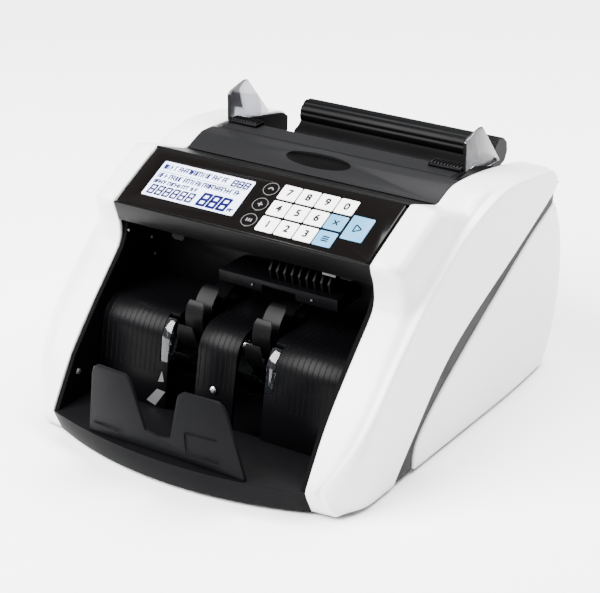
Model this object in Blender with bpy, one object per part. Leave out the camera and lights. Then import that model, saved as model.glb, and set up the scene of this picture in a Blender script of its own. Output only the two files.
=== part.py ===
"""Banknote counting machine: the structure, the mechanism and everything that moves.

Lengths are in millimetres in the design frame and become metres in the meshes.
X runs to the right of the operator, Y runs from the operator to the back, Z is up.
The design frame has y = 0 at the seam between skirt and white cover, z = 0 under the base.
"""
import math

import bmesh
import bpy
import numpy as np
from mathutils import Vector

MM = 0.001

# Driving dimensions
INNER_HALF = 95.0          # half the width between the white covers
FRONT_Y = -17.5            # foremost point, the leaning stack plate
BACK_Y = 282.0             # rearmost point, the back corner of the rear covers
FOOT_DROP = 2.5            # height of the rubber feet under the base
SEAM_Z = 15.8              # top of the skirt
FIT = 0.3                  # gap between neighbouring pieces
WALL = 2.4                 # wall of the moulded shells
SIDES = (("left", -1.0), ("right", 1.0))

# Control panel, a plane that rises from the nose to the crest
NOSE = (67.7, 135.1)
PANEL_SLOPE = math.radians(27.2)
PANEL_LENGTH = 52.4
OVERLAY_THICK = 1.6

# Key field in panel coordinates: x and the distance up the slope
KEY_SIZE = (12.8, 11.8)
KEY_PITCH = (13.8, 13.6)
KEY_FIRST = (16.7, 11.6)
KEY_PROUD = 0.25
KEY_THICK = 1.45
KEY_GAP = 0.2
KEY_ROWS = (("1", "2", "3", "batch"), ("4", "5", "6", "clear"), ("7", "8", "9", "0"))
START_KEY = (73.8, 24.5, 15.1, 19.1)   # x, distance up the slope, width, height
BLUE_KEYS = ("key_batch", "key_clear", "key_start")
ROUND_KEYS = (("count", 11.7), ("add", 25.4), ("detect", 38.8))
ROUND_KEY_X = 2.9
ROUND_KEY_RADIUS = 5.7
LCD_X = (-80.6, -10.1)
LCD_V = (11.6, 41.7)

# Shafts: (y, z) of the axis and the radius of the belt pulley outside the right side plate
SHAFT_RADIUS = 3.0
PULLEY_X = (100.0, 107.5)
MOTOR_AXIS = (205.0, 45.0)
MOTOR_PULLEY = 7.0
IMPELLER_AXIS = (78.0, 56.0)
IMPELLER_PULLEY = 14.0
COUNTING_AXIS = (160.0, 110.0)
COUNTING_PULLEY = 10.5
FEED_AXIS = (206.0, 108.0)
FEED_PULLEY = 10.5
BELT_GAP = 0.35
BELT_THICK = 1.4

FRONT_BOW = 15.0           # how far the front bulges between the covers
PLATE_DEPTH = 2.6          # thickness of the stack plate
PLATE_LEAN = 0.085         # how far the stack plate leans forward for each millimetre of height
FOOT_SPREAD = 78.0         # the rubber feet stand this far from the middle
FOOT_Y = (("front", 52.0), ("rear", 222.0))
FOOT_RADIUS = 9.0
PLATE_X = (91.8, 94.7)     # inner and outer face of the side plates
BODY_HALF = 91.5           # half length of what stands between the side plates
IMPELLER_X = 25.5
IMPELLER_HALF = 6.5
IMPELLER_RADIUS = 34.0
IMPELLER_FINGERS = 12
HUB_RADIUS = 8.0           # hub that the impeller's fingers grow from
FINGER_SWEEP = -1.05       # how far a finger leans back over the top, in radians
FINGER_ROOT = 2.2          # thickness of a finger at the hub
FINGER_TAPER = 1.3         # how much thinner it is at the tip
WHEEL_CLEARANCE = 2.0      # free space round an impeller where it passes through the outlet wall
CUT_PAST = 5.0             # a cutter reaches this far past what it cuts
SLOT_X = (14.5, 36.5)      # the impellers turn between these
REST_CROWN = (65.5, 57.0)  # centre of the rounded front of the note rests
REST_RADIUS = 19.0
REST_BACK = 104.0          # the note rests run back to here
PRISM_WIDTH = 6.4          # clear prism at the inner end of an outer rest
NOTCH_Z = (46.0, 80.0)     # the notch that the prism stands in
OUTLET_WALL = (107.0, 66.4)  # front face and lower edge of the wall behind the impellers
RIB_COUNT = 9
RIB_FIRST = 13.0           # the ribs under the panel start here and stand this far apart
RIB_PITCH = 5.4
RIB_WIDTH = 1.4
ROLLER_X = (19.8, 35.0)    # inner and outer end of the feed pads and the middle counting bands
SHAFT_END = -96.5          # left end of the shafts, in the left side plate's bearing hole
VENT_COUNT = 6
VENT_PITCH = 6.0


def clear_scene():
    for old in list(bpy.data.objects):
        bpy.data.objects.remove(old, do_unlink=True)


def material(name, colour, roughness, metallic=0.0, transmission=0.0):
    made = bpy.data.materials.new(name)
    made.use_nodes = True
    shader = made.node_tree.nodes["Principled BSDF"]
    shader.inputs["Base Color"].default_value = (*colour, 1.0)
    shader.inputs["Roughness"].default_value = roughness
    shader.inputs["Metallic"].default_value = metallic
    shader.inputs["Transmission Weight"].default_value = transmission
    made.diffuse_color = (*colour, 1.0)
    return made


WHITE = ((0.86, 0.86, 0.87), 0.35)
BLACK = ((0.012, 0.012, 0.013), 0.42)
GREY = ((0.035, 0.035, 0.038), 0.45)
GLOSS = ((0.008, 0.007, 0.006), 0.12)
BLUE = ((0.30, 0.58, 0.75), 0.4)
STEEL = ((0.62, 0.62, 0.64), 0.3, 1.0)
RUBBER = ((0.02, 0.02, 0.02), 0.8)
SMOKE = ((0.25, 0.25, 0.28), 0.08, 0.0, 0.85)
CLEAR = ((0.8, 0.85, 0.9), 0.05, 0.0, 0.9)
GREEN = ((0.02, 0.16, 0.07), 0.5)


def add_object(name, mesh, look, pivot=(0.0, 0.0, 0.0), tilt=0.0):
    piece = bpy.data.objects.new(name, mesh)
    bpy.context.collection.objects.link(piece)
    piece.parent = MACHINE
    piece.location = Vector(pivot) * MM
    piece.rotation_euler = (tilt, 0.0, 0.0)
    mesh.materials.append(material(name, *look))
    return piece


def mesh_from(name, points, faces):
    mesh = bpy.data.meshes.new(name)
    mesh.from_pydata([Vector(point) * MM for point in points], [], faces)
    bm = bmesh.new()
    bm.from_mesh(mesh)
    bmesh.ops.recalc_face_normals(bm, faces=bm.faces)
    bm.to_mesh(mesh)
    bm.free()
    return mesh


def tube_of_sections(sections, closed_ends=True):
    """Points and faces of a solid through equal rings of points."""
    count = len(sections[0])
    points = [point for ring in sections for point in ring]
    faces = []
    for index in range(len(sections) - 1):
        low = index * count
        high = low + count
        for k in range(count):
            n = (k + 1) % count
            faces.append((low + k, low + n, high + n, high + k))
    if closed_ends:
        last = (len(sections) - 1) * count
        faces.append(tuple(range(count))[::-1])
        faces.append(tuple(last + k for k in range(count)))
    return points, faces


def prism_x(name, outline, x0, x1, look, pivot=(0.0, 0.0, 0.0)):
    """A closed (y, z) outline extruded along X."""
    ends = [[(x, y, z) for y, z in outline] for x in (x0, x1)]
    return add_object(name, mesh_from(name, *tube_of_sections(ends)), look, pivot)


def prism_z(name, outline, z0, z1, look, pivot=(0.0, 0.0, 0.0), tilt=0.0):
    """A closed (x, y) outline extruded along Z, or along the panel's normal when tilted."""
    ends = [[(x, y, z) for x, y in outline] for z in (z0, z1)]
    return add_object(name, mesh_from(name, *tube_of_sections(ends)), look, pivot, tilt)


def box(name, low, high, look, pivot=(0.0, 0.0, 0.0), tilt=0.0):
    outline = [(low[0], low[1]), (high[0], low[1]), (high[0], high[1]), (low[0], high[1])]
    return prism_z(name, outline, low[2], high[2], look, pivot, tilt)


def arc(centre, radius, start, end, steps):
    """Points of a circular arc, angles in degrees."""
    angles = [math.radians(start + (end - start) * k / steps) for k in range(steps + 1)]
    return [(centre[0] + radius * math.cos(a), centre[1] + radius * math.sin(a)) for a in angles]


def turns(sides):
    """Equal angles once round."""
    return [2.0 * math.pi * k / sides for k in range(sides)]


def turned_x(name, profile, axis, look, sides=32):
    """A solid of revolution about X through axis, from (x, radius) pairs."""
    rings = [[(x, radius * math.cos(a), radius * math.sin(a)) for a in turns(sides)]
             for x, radius in profile]
    mesh = mesh_from(name, *tube_of_sections(rings))
    return add_object(name, mesh, look, (0.0, *axis))


def combine(target, tool, operation):
    """Apply a Boolean and drop the tool."""
    step = target.modifiers.new(operation, "BOOLEAN")
    step.operation = operation
    step.solver = "EXACT"
    step.object = tool
    bpy.context.view_layer.update()
    graph = bpy.context.evaluated_depsgraph_get()
    result = bpy.data.meshes.new_from_object(target.evaluated_get(graph))
    target.modifiers.clear()
    target.data = result
    bpy.data.objects.remove(tool, do_unlink=True)


def cut(target, tool):
    combine(target, tool, "DIFFERENCE")


def join(target, tool):
    combine(target, tool, "UNION")


def along(line, fraction):
    """The point at a fraction of the length of an open line of (y, z) points."""
    points = np.array(line, float)
    reach = np.concatenate(([0.0], np.cumsum(np.linalg.norm(np.diff(points, axis=0), axis=1))))
    place = fraction * reach[-1]
    return np.array([np.interp(place, reach, points[:, axis]) for axis in (0, 1)])


def resample(line, count):
    points = np.array(line, float)
    reach = np.concatenate(([0.0], np.cumsum(np.linalg.norm(np.diff(points, axis=0), axis=1))))
    places = np.linspace(0.0, reach[-1], count)
    return np.stack([np.interp(places, reach, points[:, a]) for a in range(points.shape[1])], axis=1)


def thick_line(line, thickness):
    """A closed outline: the open line and its copy, offset to the right of its direction."""
    points = np.array(line, float)
    steps = np.diff(points, axis=0)
    steps /= np.linalg.norm(steps, axis=1)[:, None]
    normals = np.stack([steps[:, 1], -steps[:, 0]], axis=1)
    corner = np.vstack([normals[:1], normals[:-1] + normals[1:], normals[-1:]])
    corner /= np.linalg.norm(corner, axis=1)[:, None]
    cosine = np.concatenate(([1.0], (corner[1:-1] * normals[1:]).sum(axis=1), [1.0]))
    back = points + corner * (thickness / np.maximum(cosine, 0.45))[:, None]
    return [tuple(p) for p in points] + [tuple(p) for p in back[::-1]]


def circle(centre, radius, sides=24):
    return [(centre[0] + radius * math.cos(a), centre[1] + radius * math.sin(a)) for a in turns(sides)]


def rounded_box(x0, y0, x1, y1, radius, steps=3):
    """A rectangle with rounded corners."""
    corners = ((x1 - radius, y0 + radius, -90), (x1 - radius, y1 - radius, 0),
               (x0 + radius, y1 - radius, 90), (x0 + radius, y0 + radius, 180))
    return [point for x, y, start in corners for point in arc((x, y), radius, start, start + 90, steps)]


def shell(name, rows, thickness, look, mirrored, flush):
    """A closed shell: a grid of outer points and a copy of it sunk by the thickness.

    The column flush lies along the machine's inner parting plane and keeps its x.
    """
    grid = np.array(rows, float)
    down = np.gradient(grid, axis=0)
    across = np.gradient(grid, axis=1)
    normal = np.cross(across, down)
    normal /= np.linalg.norm(normal, axis=2)[:, :, None]
    inner = grid - normal * thickness
    if flush is not None:
        inner[:, flush, 0] = grid[:, flush, 0]
    if mirrored:
        grid[:, :, 0] *= -1.0
        inner[:, :, 0] *= -1.0
    height, width = grid.shape[:2]
    points = [tuple(p) for p in grid.reshape(-1, 3)] + [tuple(p) for p in inner.reshape(-1, 3)]
    size = height * width
    faces = []
    for i in range(height - 1):
        for k in range(width - 1):
            a = i * width + k
            quad = (a, a + 1, a + width + 1, a + width)
            faces.append(quad)
            faces.append(tuple(index + size for index in quad[::-1]))
    top = list(range(width))
    right = [i * width + width - 1 for i in range(height)]
    bottom = [(height - 1) * width + k for k in range(width)]
    left = [i * width for i in range(height)]
    for edge in (top, right, bottom, left):
        for a, b in zip(edge, edge[1:]):
            faces.append((a, b, b + size, a + size))
    piece = add_object(name, mesh_from(name, points, faces), look)
    piece.data.shade_smooth()
    piece.data.set_sharp_from_angle(angle=math.radians(38))
    return piece


def panel_point(v, w):
    """The (y, z) of a point v up the panel and w above it."""
    return (NOSE[0] + v * math.cos(PANEL_SLOPE) - w * math.sin(PANEL_SLOPE),
            NOSE[1] + v * math.sin(PANEL_SLOPE) + w * math.cos(PANEL_SLOPE))


CREST = panel_point(PANEL_LENGTH, 0.0)

# Side covers in (y, z), front to back. Knots are joined by smooth curves.
FLANK = ((0.0, SEAM_Z), (21.0, 49.0), (45.5, 76.5), (71.0, 102.5))
THROAT = ((75.0, 110.0), (73.0, 122.0))
VALLEY = ((130.0, 153.5), (146.0, 148.0), (156.0, 152.5))
TOP_EDGE = ((164.5, 155.5), (200.0, 153.5), (257.0, 144.0))
INNER_LIPS = ((7.5, 0.5), (263.5, 140.5), (264.5, 134.5))
RIDGE = ((2.5, 17.5), (32.0, 58.5), (68.5, 95.5), (99.0, 118.5), (137.0, 140.0), (180.0, 152.5),
         (216.0, 150.0), (250.0, 144.5))
RIDGE_STEPS = (4, 4, 4, 3, 4, 2, 2)
RIDGE_LIPS = ((9.5, 0.5), (257.5, 141.5), (262.0, 133.5))
BAND_FRONT = ((59.5, 0.5), (76.5, 22.0), (120.0, 66.5), (200.0, 106.0), (256.5, 129.0))
BAND_REAR = ((83.5, 0.5), (80.0, 14.0), (118.0, 48.0), (210.0, 102.5), (257.5, 119.5))
BACK_LINE = ((265.5, 0.5), (276.0, 18.0), (BACK_Y, 55.0), (276.0, 94.0), (264.5, 115.5))
CORNER_RADIUS = 27.0       # plan radius of the covers' lower front corner
CORNER_DEPTH = 36.0        # how far back the ridge's own corner reaches
SHOULDER = ((0.0, 1.0), (0.45, 1.0), (0.71, 0.82), (0.82, 0.42), (0.89, 0.1), (1.0, 0.0))
RIDGE_MARGIN = 1.8         # the shoulder ends this far inside the ridge
EDGE_ROUNDING = 0.6        # how far the ridge itself is rounded off
FOOT_X = 120.0             # half width of the covers at the base
SIDE_SWELL = 4.4           # how far the sides swell above the base
SWELL_Z = 110.0            # height of the widest section
REAR_TAPER = 3.0           # how far the sides come in again at the back
TAPER_Y = (190.0, 70.0)    # where the taper starts, and its length
TRIM_SINK = 1.1            # the dark band lies this far under the white covers
TRIM_GAP = 0.9             # the dark band stays this far from the rear cover's edge
BACK_CORNER = 7.0          # radius of the rear covers' back corner


def smooth(knots, steps):
    """Points of a smooth curve through the knots, with steps points for each stretch."""
    line = np.array(knots, float)
    ends = np.vstack([2.0 * line[0] - line[1], line, 2.0 * line[-1] - line[-2]])
    if isinstance(steps, int):
        steps = [steps] * (len(line) - 1)
    points = []
    for k, count in enumerate(steps):
        before, start, stop, after = ends[k:k + 4]
        for t in np.arange(count) / count:
            bend = 2.0 * before - 5.0 * start + 4.0 * stop - after
            twist = 3.0 * start - before - 3.0 * stop + after
            points.append(start + 0.5 * t * (stop - before + t * (bend + t * twist)))
    return [tuple(point) for point in points] + [tuple(line[-1])]


def inner_edge():
    """The covers' edge beside the pocket, the panel and the hopper."""
    panel_middle = panel_point(PANEL_LENGTH / 2.0, 0.0)
    front = [INNER_LIPS[0], *smooth(FLANK, 3), *THROAT, NOSE, panel_middle, CREST, *VALLEY]
    return front + smooth(TOP_EDGE, (2, 3)) + list(INNER_LIPS[1:])


def ridge_line():
    """The rounded outer edge of the covers' top, which turns inward round the front corner."""
    line = [RIDGE_LIPS[0], *smooth(RIDGE, RIDGE_STEPS), *RIDGE_LIPS[1:]]
    placed = []
    for y, z in line:
        inset = min(1.0, max(0.0, (CORNER_DEPTH - y) / CORNER_DEPTH))
        x = FOOT_X - CORNER_RADIUS * (1.0 - math.sqrt(1.0 - inset * inset))
        stretch = (side_x(y, z) - INNER_HALF) / (FOOT_X - INNER_HALF)
        placed.append((INNER_HALF + (x - INNER_HALF) * stretch, y, z))
    return placed


def side_x(y, z):
    """Half width of the side covers' outer face."""
    rise = 1.0 - ((SWELL_Z - min(z, SWELL_Z)) / SWELL_Z) ** 2
    taper = max(0.0, (y - TAPER_Y[0]) / TAPER_Y[1]) ** 2
    return FOOT_X + SIDE_SWELL * rise - REAR_TAPER * taper


def bow(x, sagitta):
    """How far the front bulges forward at x."""
    radius = (INNER_HALF ** 2 + sagitta ** 2) / (2.0 * sagitta)
    return -(math.sqrt(radius * radius - x * x) - (radius - sagitta))


def corner_path(ridge, band, undercut):
    """Outer points from the ridge round the lower front corner and back to the dark band."""
    ridge_x, ridge_y, ridge_z = ridge
    centre = (FOOT_X - CORNER_RADIUS, 0.2 + CORNER_RADIUS + undercut)
    turn = (min(ridge_x, FOOT_X) - centre[0]) / CORNER_RADIUS
    start = math.degrees(math.acos(turn))
    if start > 12.0 and ridge_y < centre[1] - 4.0:
        plan = [(ridge_x, ridge_y)]
        plan += arc(centre, CORNER_RADIUS, -start + 8.0, 0.0, 9)
        plan.append((FOOT_X, band[0]))
    else:
        plan = [(FOOT_X, ridge_y), (FOOT_X, band[0])]
    plan = resample(plan, 12)
    heights = np.linspace(ridge_z, band[1], len(plan))
    path = []
    for (x, y), z in zip(plan, heights):
        stretch = (side_x(y, z) - INNER_HALF) / (FOOT_X - INNER_HALF)
        path.append((INNER_HALF + (x - INNER_HALF) * stretch, y, z))
    path[0] = ridge
    return path


def front_cover_rows():
    """The white cover from its inner edge over the ridge and down to the dark band."""
    rows = []
    edge = inner_edge()
    last = len(edge) - 1
    band_front = smooth(BAND_FRONT, 6)
    for i, (inner, ridge) in enumerate(zip(edge, ridge_line())):
        reach = ridge[0] - RIDGE_MARGIN - INNER_HALF - FIT
        row = []
        for place, weight in smooth(SHOULDER, 2):
            share = weight if i > 8 else weight * i / 8.0 + (1.0 - 0.9 * place) * (1.0 - i / 8.0)
            y = ridge[1] + share * (inner[0] - ridge[1])
            z = ridge[2] + share * (inner[1] - ridge[2])
            row.append((INNER_HALF + FIT + place * reach, y, z))
        band = along(band_front, 1.0 - (1.0 - i / last) ** 1.12)
        path = corner_path(ridge, band, INNER_LIPS[0][0] if i == 0 else 0.0)
        rows.append(row + soften(path, EDGE_ROUNDING if i > 1 else 0.0))
    return rows


def soften(path, sink):
    """Round the ridge: sink its point and add one just past it."""
    first, second = np.array(path[0]), np.array(path[1])
    step = (second - first) / np.linalg.norm(second - first)
    past = first + 2.4 * step
    sunk = first + sink * np.array([-1.0, 0.6, -0.6])
    return [tuple(sunk), tuple(past)] + path[1:]


def rear_cover_rows():
    """The white rear cover from the dark band over the side and round the back corner."""
    rows = []
    radius = BACK_CORNER
    band_rear = smooth(BAND_REAR, 6)
    back_line = smooth(BACK_LINE, 4)
    for t in np.linspace(0.0, 1.0, 13):
        front = along(band_rear, t)
        back = along(back_line, t)
        row = []
        for k in range(9):
            y, z = front + (back - front - np.array([radius, 0.0])) * k / 8.0
            row.append((side_x(y, z), y, z))
        edge_x = row[-1][0]
        for angle in (22.5, 45.0, 67.5, 90.0):
            a = math.radians(angle)
            x = edge_x - radius * (1.0 - math.cos(a))
            row.append((x, back[0] - radius * (1.0 - math.sin(a)), back[1]))
        for x in (109.0, 102.0, INNER_HALF + FIT):
            row.append((x, back[0], back[1]))
        rows.append(row)
    return rows


def band_rows():
    """The dark band between the white covers, a little below their faces."""
    rows = []
    band_front = smooth(BAND_FRONT, 6)
    band_rear = smooth(BAND_REAR, 6)
    for t in np.linspace(0.0, 1.0, 15):
        front = along(band_front, t) + np.array([FIT, -FIT])
        rear = along(band_rear, t) + np.array([-TRIM_GAP, TRIM_GAP])
        row = []
        for share in (0.0, 0.33, 0.67, 1.0):
            y, z = front + (rear - front) * share
            row.append((side_x(y, z) - TRIM_SINK, y, z))
        rows.append(row)
    return rows


def build_covers():
    for side, sign in SIDES:
        mirrored = sign < 0.0
        shell(f"front_cover_{side}", front_cover_rows(), WALL, WHITE, mirrored, 0)
        shell(f"rear_cover_{side}", rear_cover_rows(), WALL, WHITE, mirrored, -1)
        shell(f"side_trim_{side}", band_rows(), WALL, GREY, mirrored, None)


def side_plate_outline():
    """The chassis side: the covers' inner edge, kept under the panel housing and the deck."""
    pocket = [(1.6, SEAM_Z + FIT + 0.2), (10.2, 30.4), (20.2, 47.0), (45.4, 75.9), (71.8, 102.9),
              (76.0, 110.4), (78.0, 118.0)]
    under_panel = [panel_point(6.0, -4.9), panel_point(48.0, -4.9), (141.0, 144.5), (165.0, 144.5),
                   (198.0, 144.5), (199.5, 150.0), (220.0, 149.0), (240.0, 145.4), (257.0, 142.0),
                   (261.0, 139.0)]
    back = [(260.0, 120.4), (249.4, 120.4), (249.4, 116.6), (258.0, 115.6), (264.6, 106.0), (272.6, 78.0),
            (273.6, 56.0), (272.6, 38.0), (264.0, SEAM_Z + FIT + 0.2)]
    return pocket + under_panel + back


def build_chassis():
    half = PLATE_X[1]
    front = [(x, bow(x, FRONT_BOW)) for x in np.linspace(-half, half, 25)]
    low = [(x, bow(x, FRONT_BOW + 4.9) + INNER_LIPS[0][0]) for x in np.linspace(-half, half, 25)]
    rear = [(half, 267.0), (-half, 267.0)]
    rings = [[(x, y, 0.0) for x, y in low + rear], [(x, y, SEAM_Z) for x, y in front + rear]]
    base = add_object("base_tray", mesh_from("base_tray", *tube_of_sections(rings)), GREY)
    cut(base, box("tray_hollow", (-91.6, 42.0, 2.6), (91.6, 264.0, 30.0), GREY))
    cut(base, box("front_hollow", (-88.0, 10.0, -4.0), (88.0, 39.0, 12.6), GREY))
    for end, y in FOOT_Y:
        for side, sign in SIDES:
            profile = ((FIT, FOOT_RADIUS - 1.0), (1.4, FOOT_RADIUS), (FOOT_DROP, FOOT_RADIUS))
            name = f"foot_{end}_{side}"
            centre = (sign * FOOT_SPREAD, y)
            rings = [[(centre[0] + r * math.cos(a), centre[1] + r * math.sin(a), -z) for a in turns(24)]
                     for z, r in profile]
            add_object(name, mesh_from(name, *tube_of_sections(rings)), RUBBER)
    for side, sign in SIDES:
        x0, x1 = sorted((sign * PLATE_X[0], sign * PLATE_X[1]))
        plate = prism_x(f"side_plate_{side}", side_plate_outline(), x0, x1, BLACK)
        for axis in (MOTOR_AXIS, IMPELLER_AXIS, COUNTING_AXIS, FEED_AXIS):
            hole = [(x0 - 1.0, SHAFT_RADIUS + 0.5), (x1 + 1.0, SHAFT_RADIUS + 0.5)]
            cut(plate, turned_x("shaft_hole", hole, axis, STEEL, 20))
    outer = [(268.0, 16.2), (277.0, 38.0), (278.4, 56.0), (276.8, 77.0), (268.6, 107.0), (262.5, 118.6),
             (250.0, 120.0)]
    back = prism_x("back_panel", thick_line(outer[::-1], WALL), -PLATE_X[1], PLATE_X[1], BLACK)
    cut(back, box("inlet_window", (-62.4, 255.0, 30.0), (-31.6, 290.0, 56.4), BLACK))
    cut(back, box("switch_window", (-24.4, 255.0, 33.4), (-9.6, 290.0, 53.0), BLACK))
    for row in range(VENT_COUNT):
        z = 66.0 + VENT_PITCH * row
        cut(back, box("vent", (20.0, 250.0, z), (74.0, 290.0, z + 2.6), BLACK))


def build_panel():
    outer = [(72.4, 121.4), (70.0, 128.6), NOSE, panel_point(1.3, 0.0), panel_point(1.3, -1.9),
             panel_point(51.2, -1.9), panel_point(51.2, 0.0), CREST, (130.0, 153.2), (146.2, 147.8)]
    inner = [(145.6, 145.3), (129.4, 150.4), (115.2, 155.5), panel_point(50.0, -4.2),
             panel_point(4.0, -4.2), (72.4, 129.4), (74.8, 122.2)]
    prism_x("panel_housing", outer + inner, -PLATE_X[1], PLATE_X[1], GREY)
    pivot = (0.0, *NOSE)
    edge = rounded_box(-93.2, 1.6, 93.2, 50.9, 1.5)
    overlay = prism_z("panel_overlay", edge, -OVERLAY_THICK, 0.0, GLOSS, pivot, PANEL_SLOPE)
    for x, v, width, height, _ in key_places():
        reach = (width / 2.0 + KEY_GAP, height / 2.0 + KEY_GAP)
        cut(overlay, box("window", (x - reach[0], v - reach[1], -5.0), (x + reach[0], v + reach[1], 5.0),
                         GLOSS, pivot, PANEL_SLOPE))
    for _, v in ROUND_KEYS:
        rim = circle((ROUND_KEY_X, v), ROUND_KEY_RADIUS + KEY_GAP)
        cut(overlay, prism_z("window", rim, -5.0, 5.0, GLOSS, pivot, PANEL_SLOPE))
    window = rounded_box(LCD_X[0] - FIT, LCD_V[0] - FIT, LCD_X[1] + FIT, LCD_V[1] + FIT, 1.2)
    cut(overlay, prism_z("window", window, -5.0, 5.0, GLOSS, pivot, PANEL_SLOPE))
    glass = rounded_box(LCD_X[0], LCD_V[0], LCD_X[1], LCD_V[1], 1.0)
    prism_z("lcd_display", glass, -1.5, -0.15, ((0.8, 0.86, 0.95), 0.15), pivot, PANEL_SLOPE)
    box("display_board", (-86.0, 8.0, -9.4), (86.0, 48.0, -7.8), GREEN, pivot, PANEL_SLOPE)


def key_places():
    """Centre x, distance up the panel, width, height and name of every square key."""
    places = [(*START_KEY, "key_start")]
    for row, names in enumerate(KEY_ROWS):
        for column, name in enumerate(names):
            x = KEY_FIRST[0] + column * KEY_PITCH[0]
            v = KEY_FIRST[1] + row * KEY_PITCH[1]
            places.append((x, v, *KEY_SIZE, f"key_{name}"))
    return places


def build_keys():
    """Each key's origin is the centre of its face, on the line that it is pressed along."""
    low = KEY_PROUD - KEY_THICK
    for x, v, width, height, name in key_places():
        look = BLUE if name in BLUE_KEYS else WHITE
        outline = rounded_box(-width / 2.0, -height / 2.0, width / 2.0, height / 2.0, 0.5, 1)
        prism_z(name, outline, low, KEY_PROUD, look, (x, *panel_point(v, 0.0)), PANEL_SLOPE)
    for name, v in ROUND_KEYS:
        place = (ROUND_KEY_X, *panel_point(v, 0.0))
        rim = circle((0.0, 0.0), ROUND_KEY_RADIUS)
        prism_z(f"key_{name}", rim, low, KEY_PROUD, GLOSS, place, PANEL_SLOPE)


def build_hopper():
    deck = [(146.6, 148.3), (162.6, 155.2), (194.0, 155.4), (194.0, 152.6), (176.0, 152.2),
            (172.0, 146.4), (152.0, 145.2)]
    top = prism_x("hopper_deck", deck, -PLATE_X[1], PLATE_X[1], GREY)
    for side in (-1.0, 1.0):
        x0, x1 = sorted((side * 89.0, side * 99.0))
        cut(top, box("guide_slot", (x0, 174.0, 140.0), (x1, 200.0, 160.0), GREY))
    lip = turned_x("lip", [(-36.0, 0.05), (-24.0, 4.2), (-8.0, 6.8), (8.0, 6.8), (24.0, 4.2), (36.0, 0.05)],
                   (167.0, 155.0), GREY, 24)
    lip.scale = (1.0, 1.25, 0.16)
    join(top, lip)
    scoop = turned_x("scoop", oval(25.0, 6.4, 10), (158.8, 154.8), GREY, 24)
    scoop.scale = (1.0, 1.15, 1.0)
    cut(top, scoop)
    floor = [(178.0, 113.0), (186.0, 118.0), (204.0, 121.0), (238.0, 124.0), (238.0, 121.6), (204.0, 118.6),
             (187.0, 115.6), (179.6, 111.0)]
    tray = prism_x("hopper_floor", floor, -BODY_HALF, BODY_HALF, BLACK)
    for sign in (-1.0, 1.0):
        x0, x1 = sorted((sign * (ROLLER_X[0] - WHEEL_CLEARANCE), sign * (ROLLER_X[1] + WHEEL_CLEARANCE)))
        cut(tray, box("roller_slot", (x0, 172.0, 100.0), (x1, 224.0, 140.0), BLACK))
    bulb = arc((263.5, 144.0), 9.8, 205.0, -70.0, 14)
    outline = [(240.0, 125.0), (244.0, 131.5), (247.0, 135.2), (251.0, 136.4)] + bulb
    outline += [(262.0, 133.0), (255.0, 130.0), (249.0, 124.4), (246.0, 121.4), (240.0, 121.4)]
    prism_x("rear_handle", outline, -77.0, 77.0, BLACK)
    for side, sign in SIDES:
        plate = [(188.2, 156.0), (188.2, 174.6), (190.4, 176.6), (206.0, 180.0), (209.6, 179.6),
                 (212.0, 176.8), (234.0, 151.0), (234.0, 150.0), (222.0, 150.0), (212.0, 153.0),
                 (200.0, 156.0)]
        x0, x1 = sorted((sign * 89.6, sign * 91.4))
        prism_x(f"guide_{side}", plate, x0, x1, SMOKE)
        thumb = [(185.2, 155.8), (185.2, 157.6), (186.0, 158.2), (194.4, 158.2), (195.0, 157.6),
                 (195.0, 155.8)]
        x0, x1 = sorted((sign * 66.0, sign * 89.3))
        prism_x(f"guide_foot_{side}", thumb, x0, x1, BLACK)


def oval(half_length, radius, steps):
    """The (x, radius) profile of an ellipsoid of revolution."""
    points = []
    for k in range(steps + 1):
        a = math.pi * k / steps
        points.append((-half_length * math.cos(a), max(0.05, radius * math.sin(a))))
    return points


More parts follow.
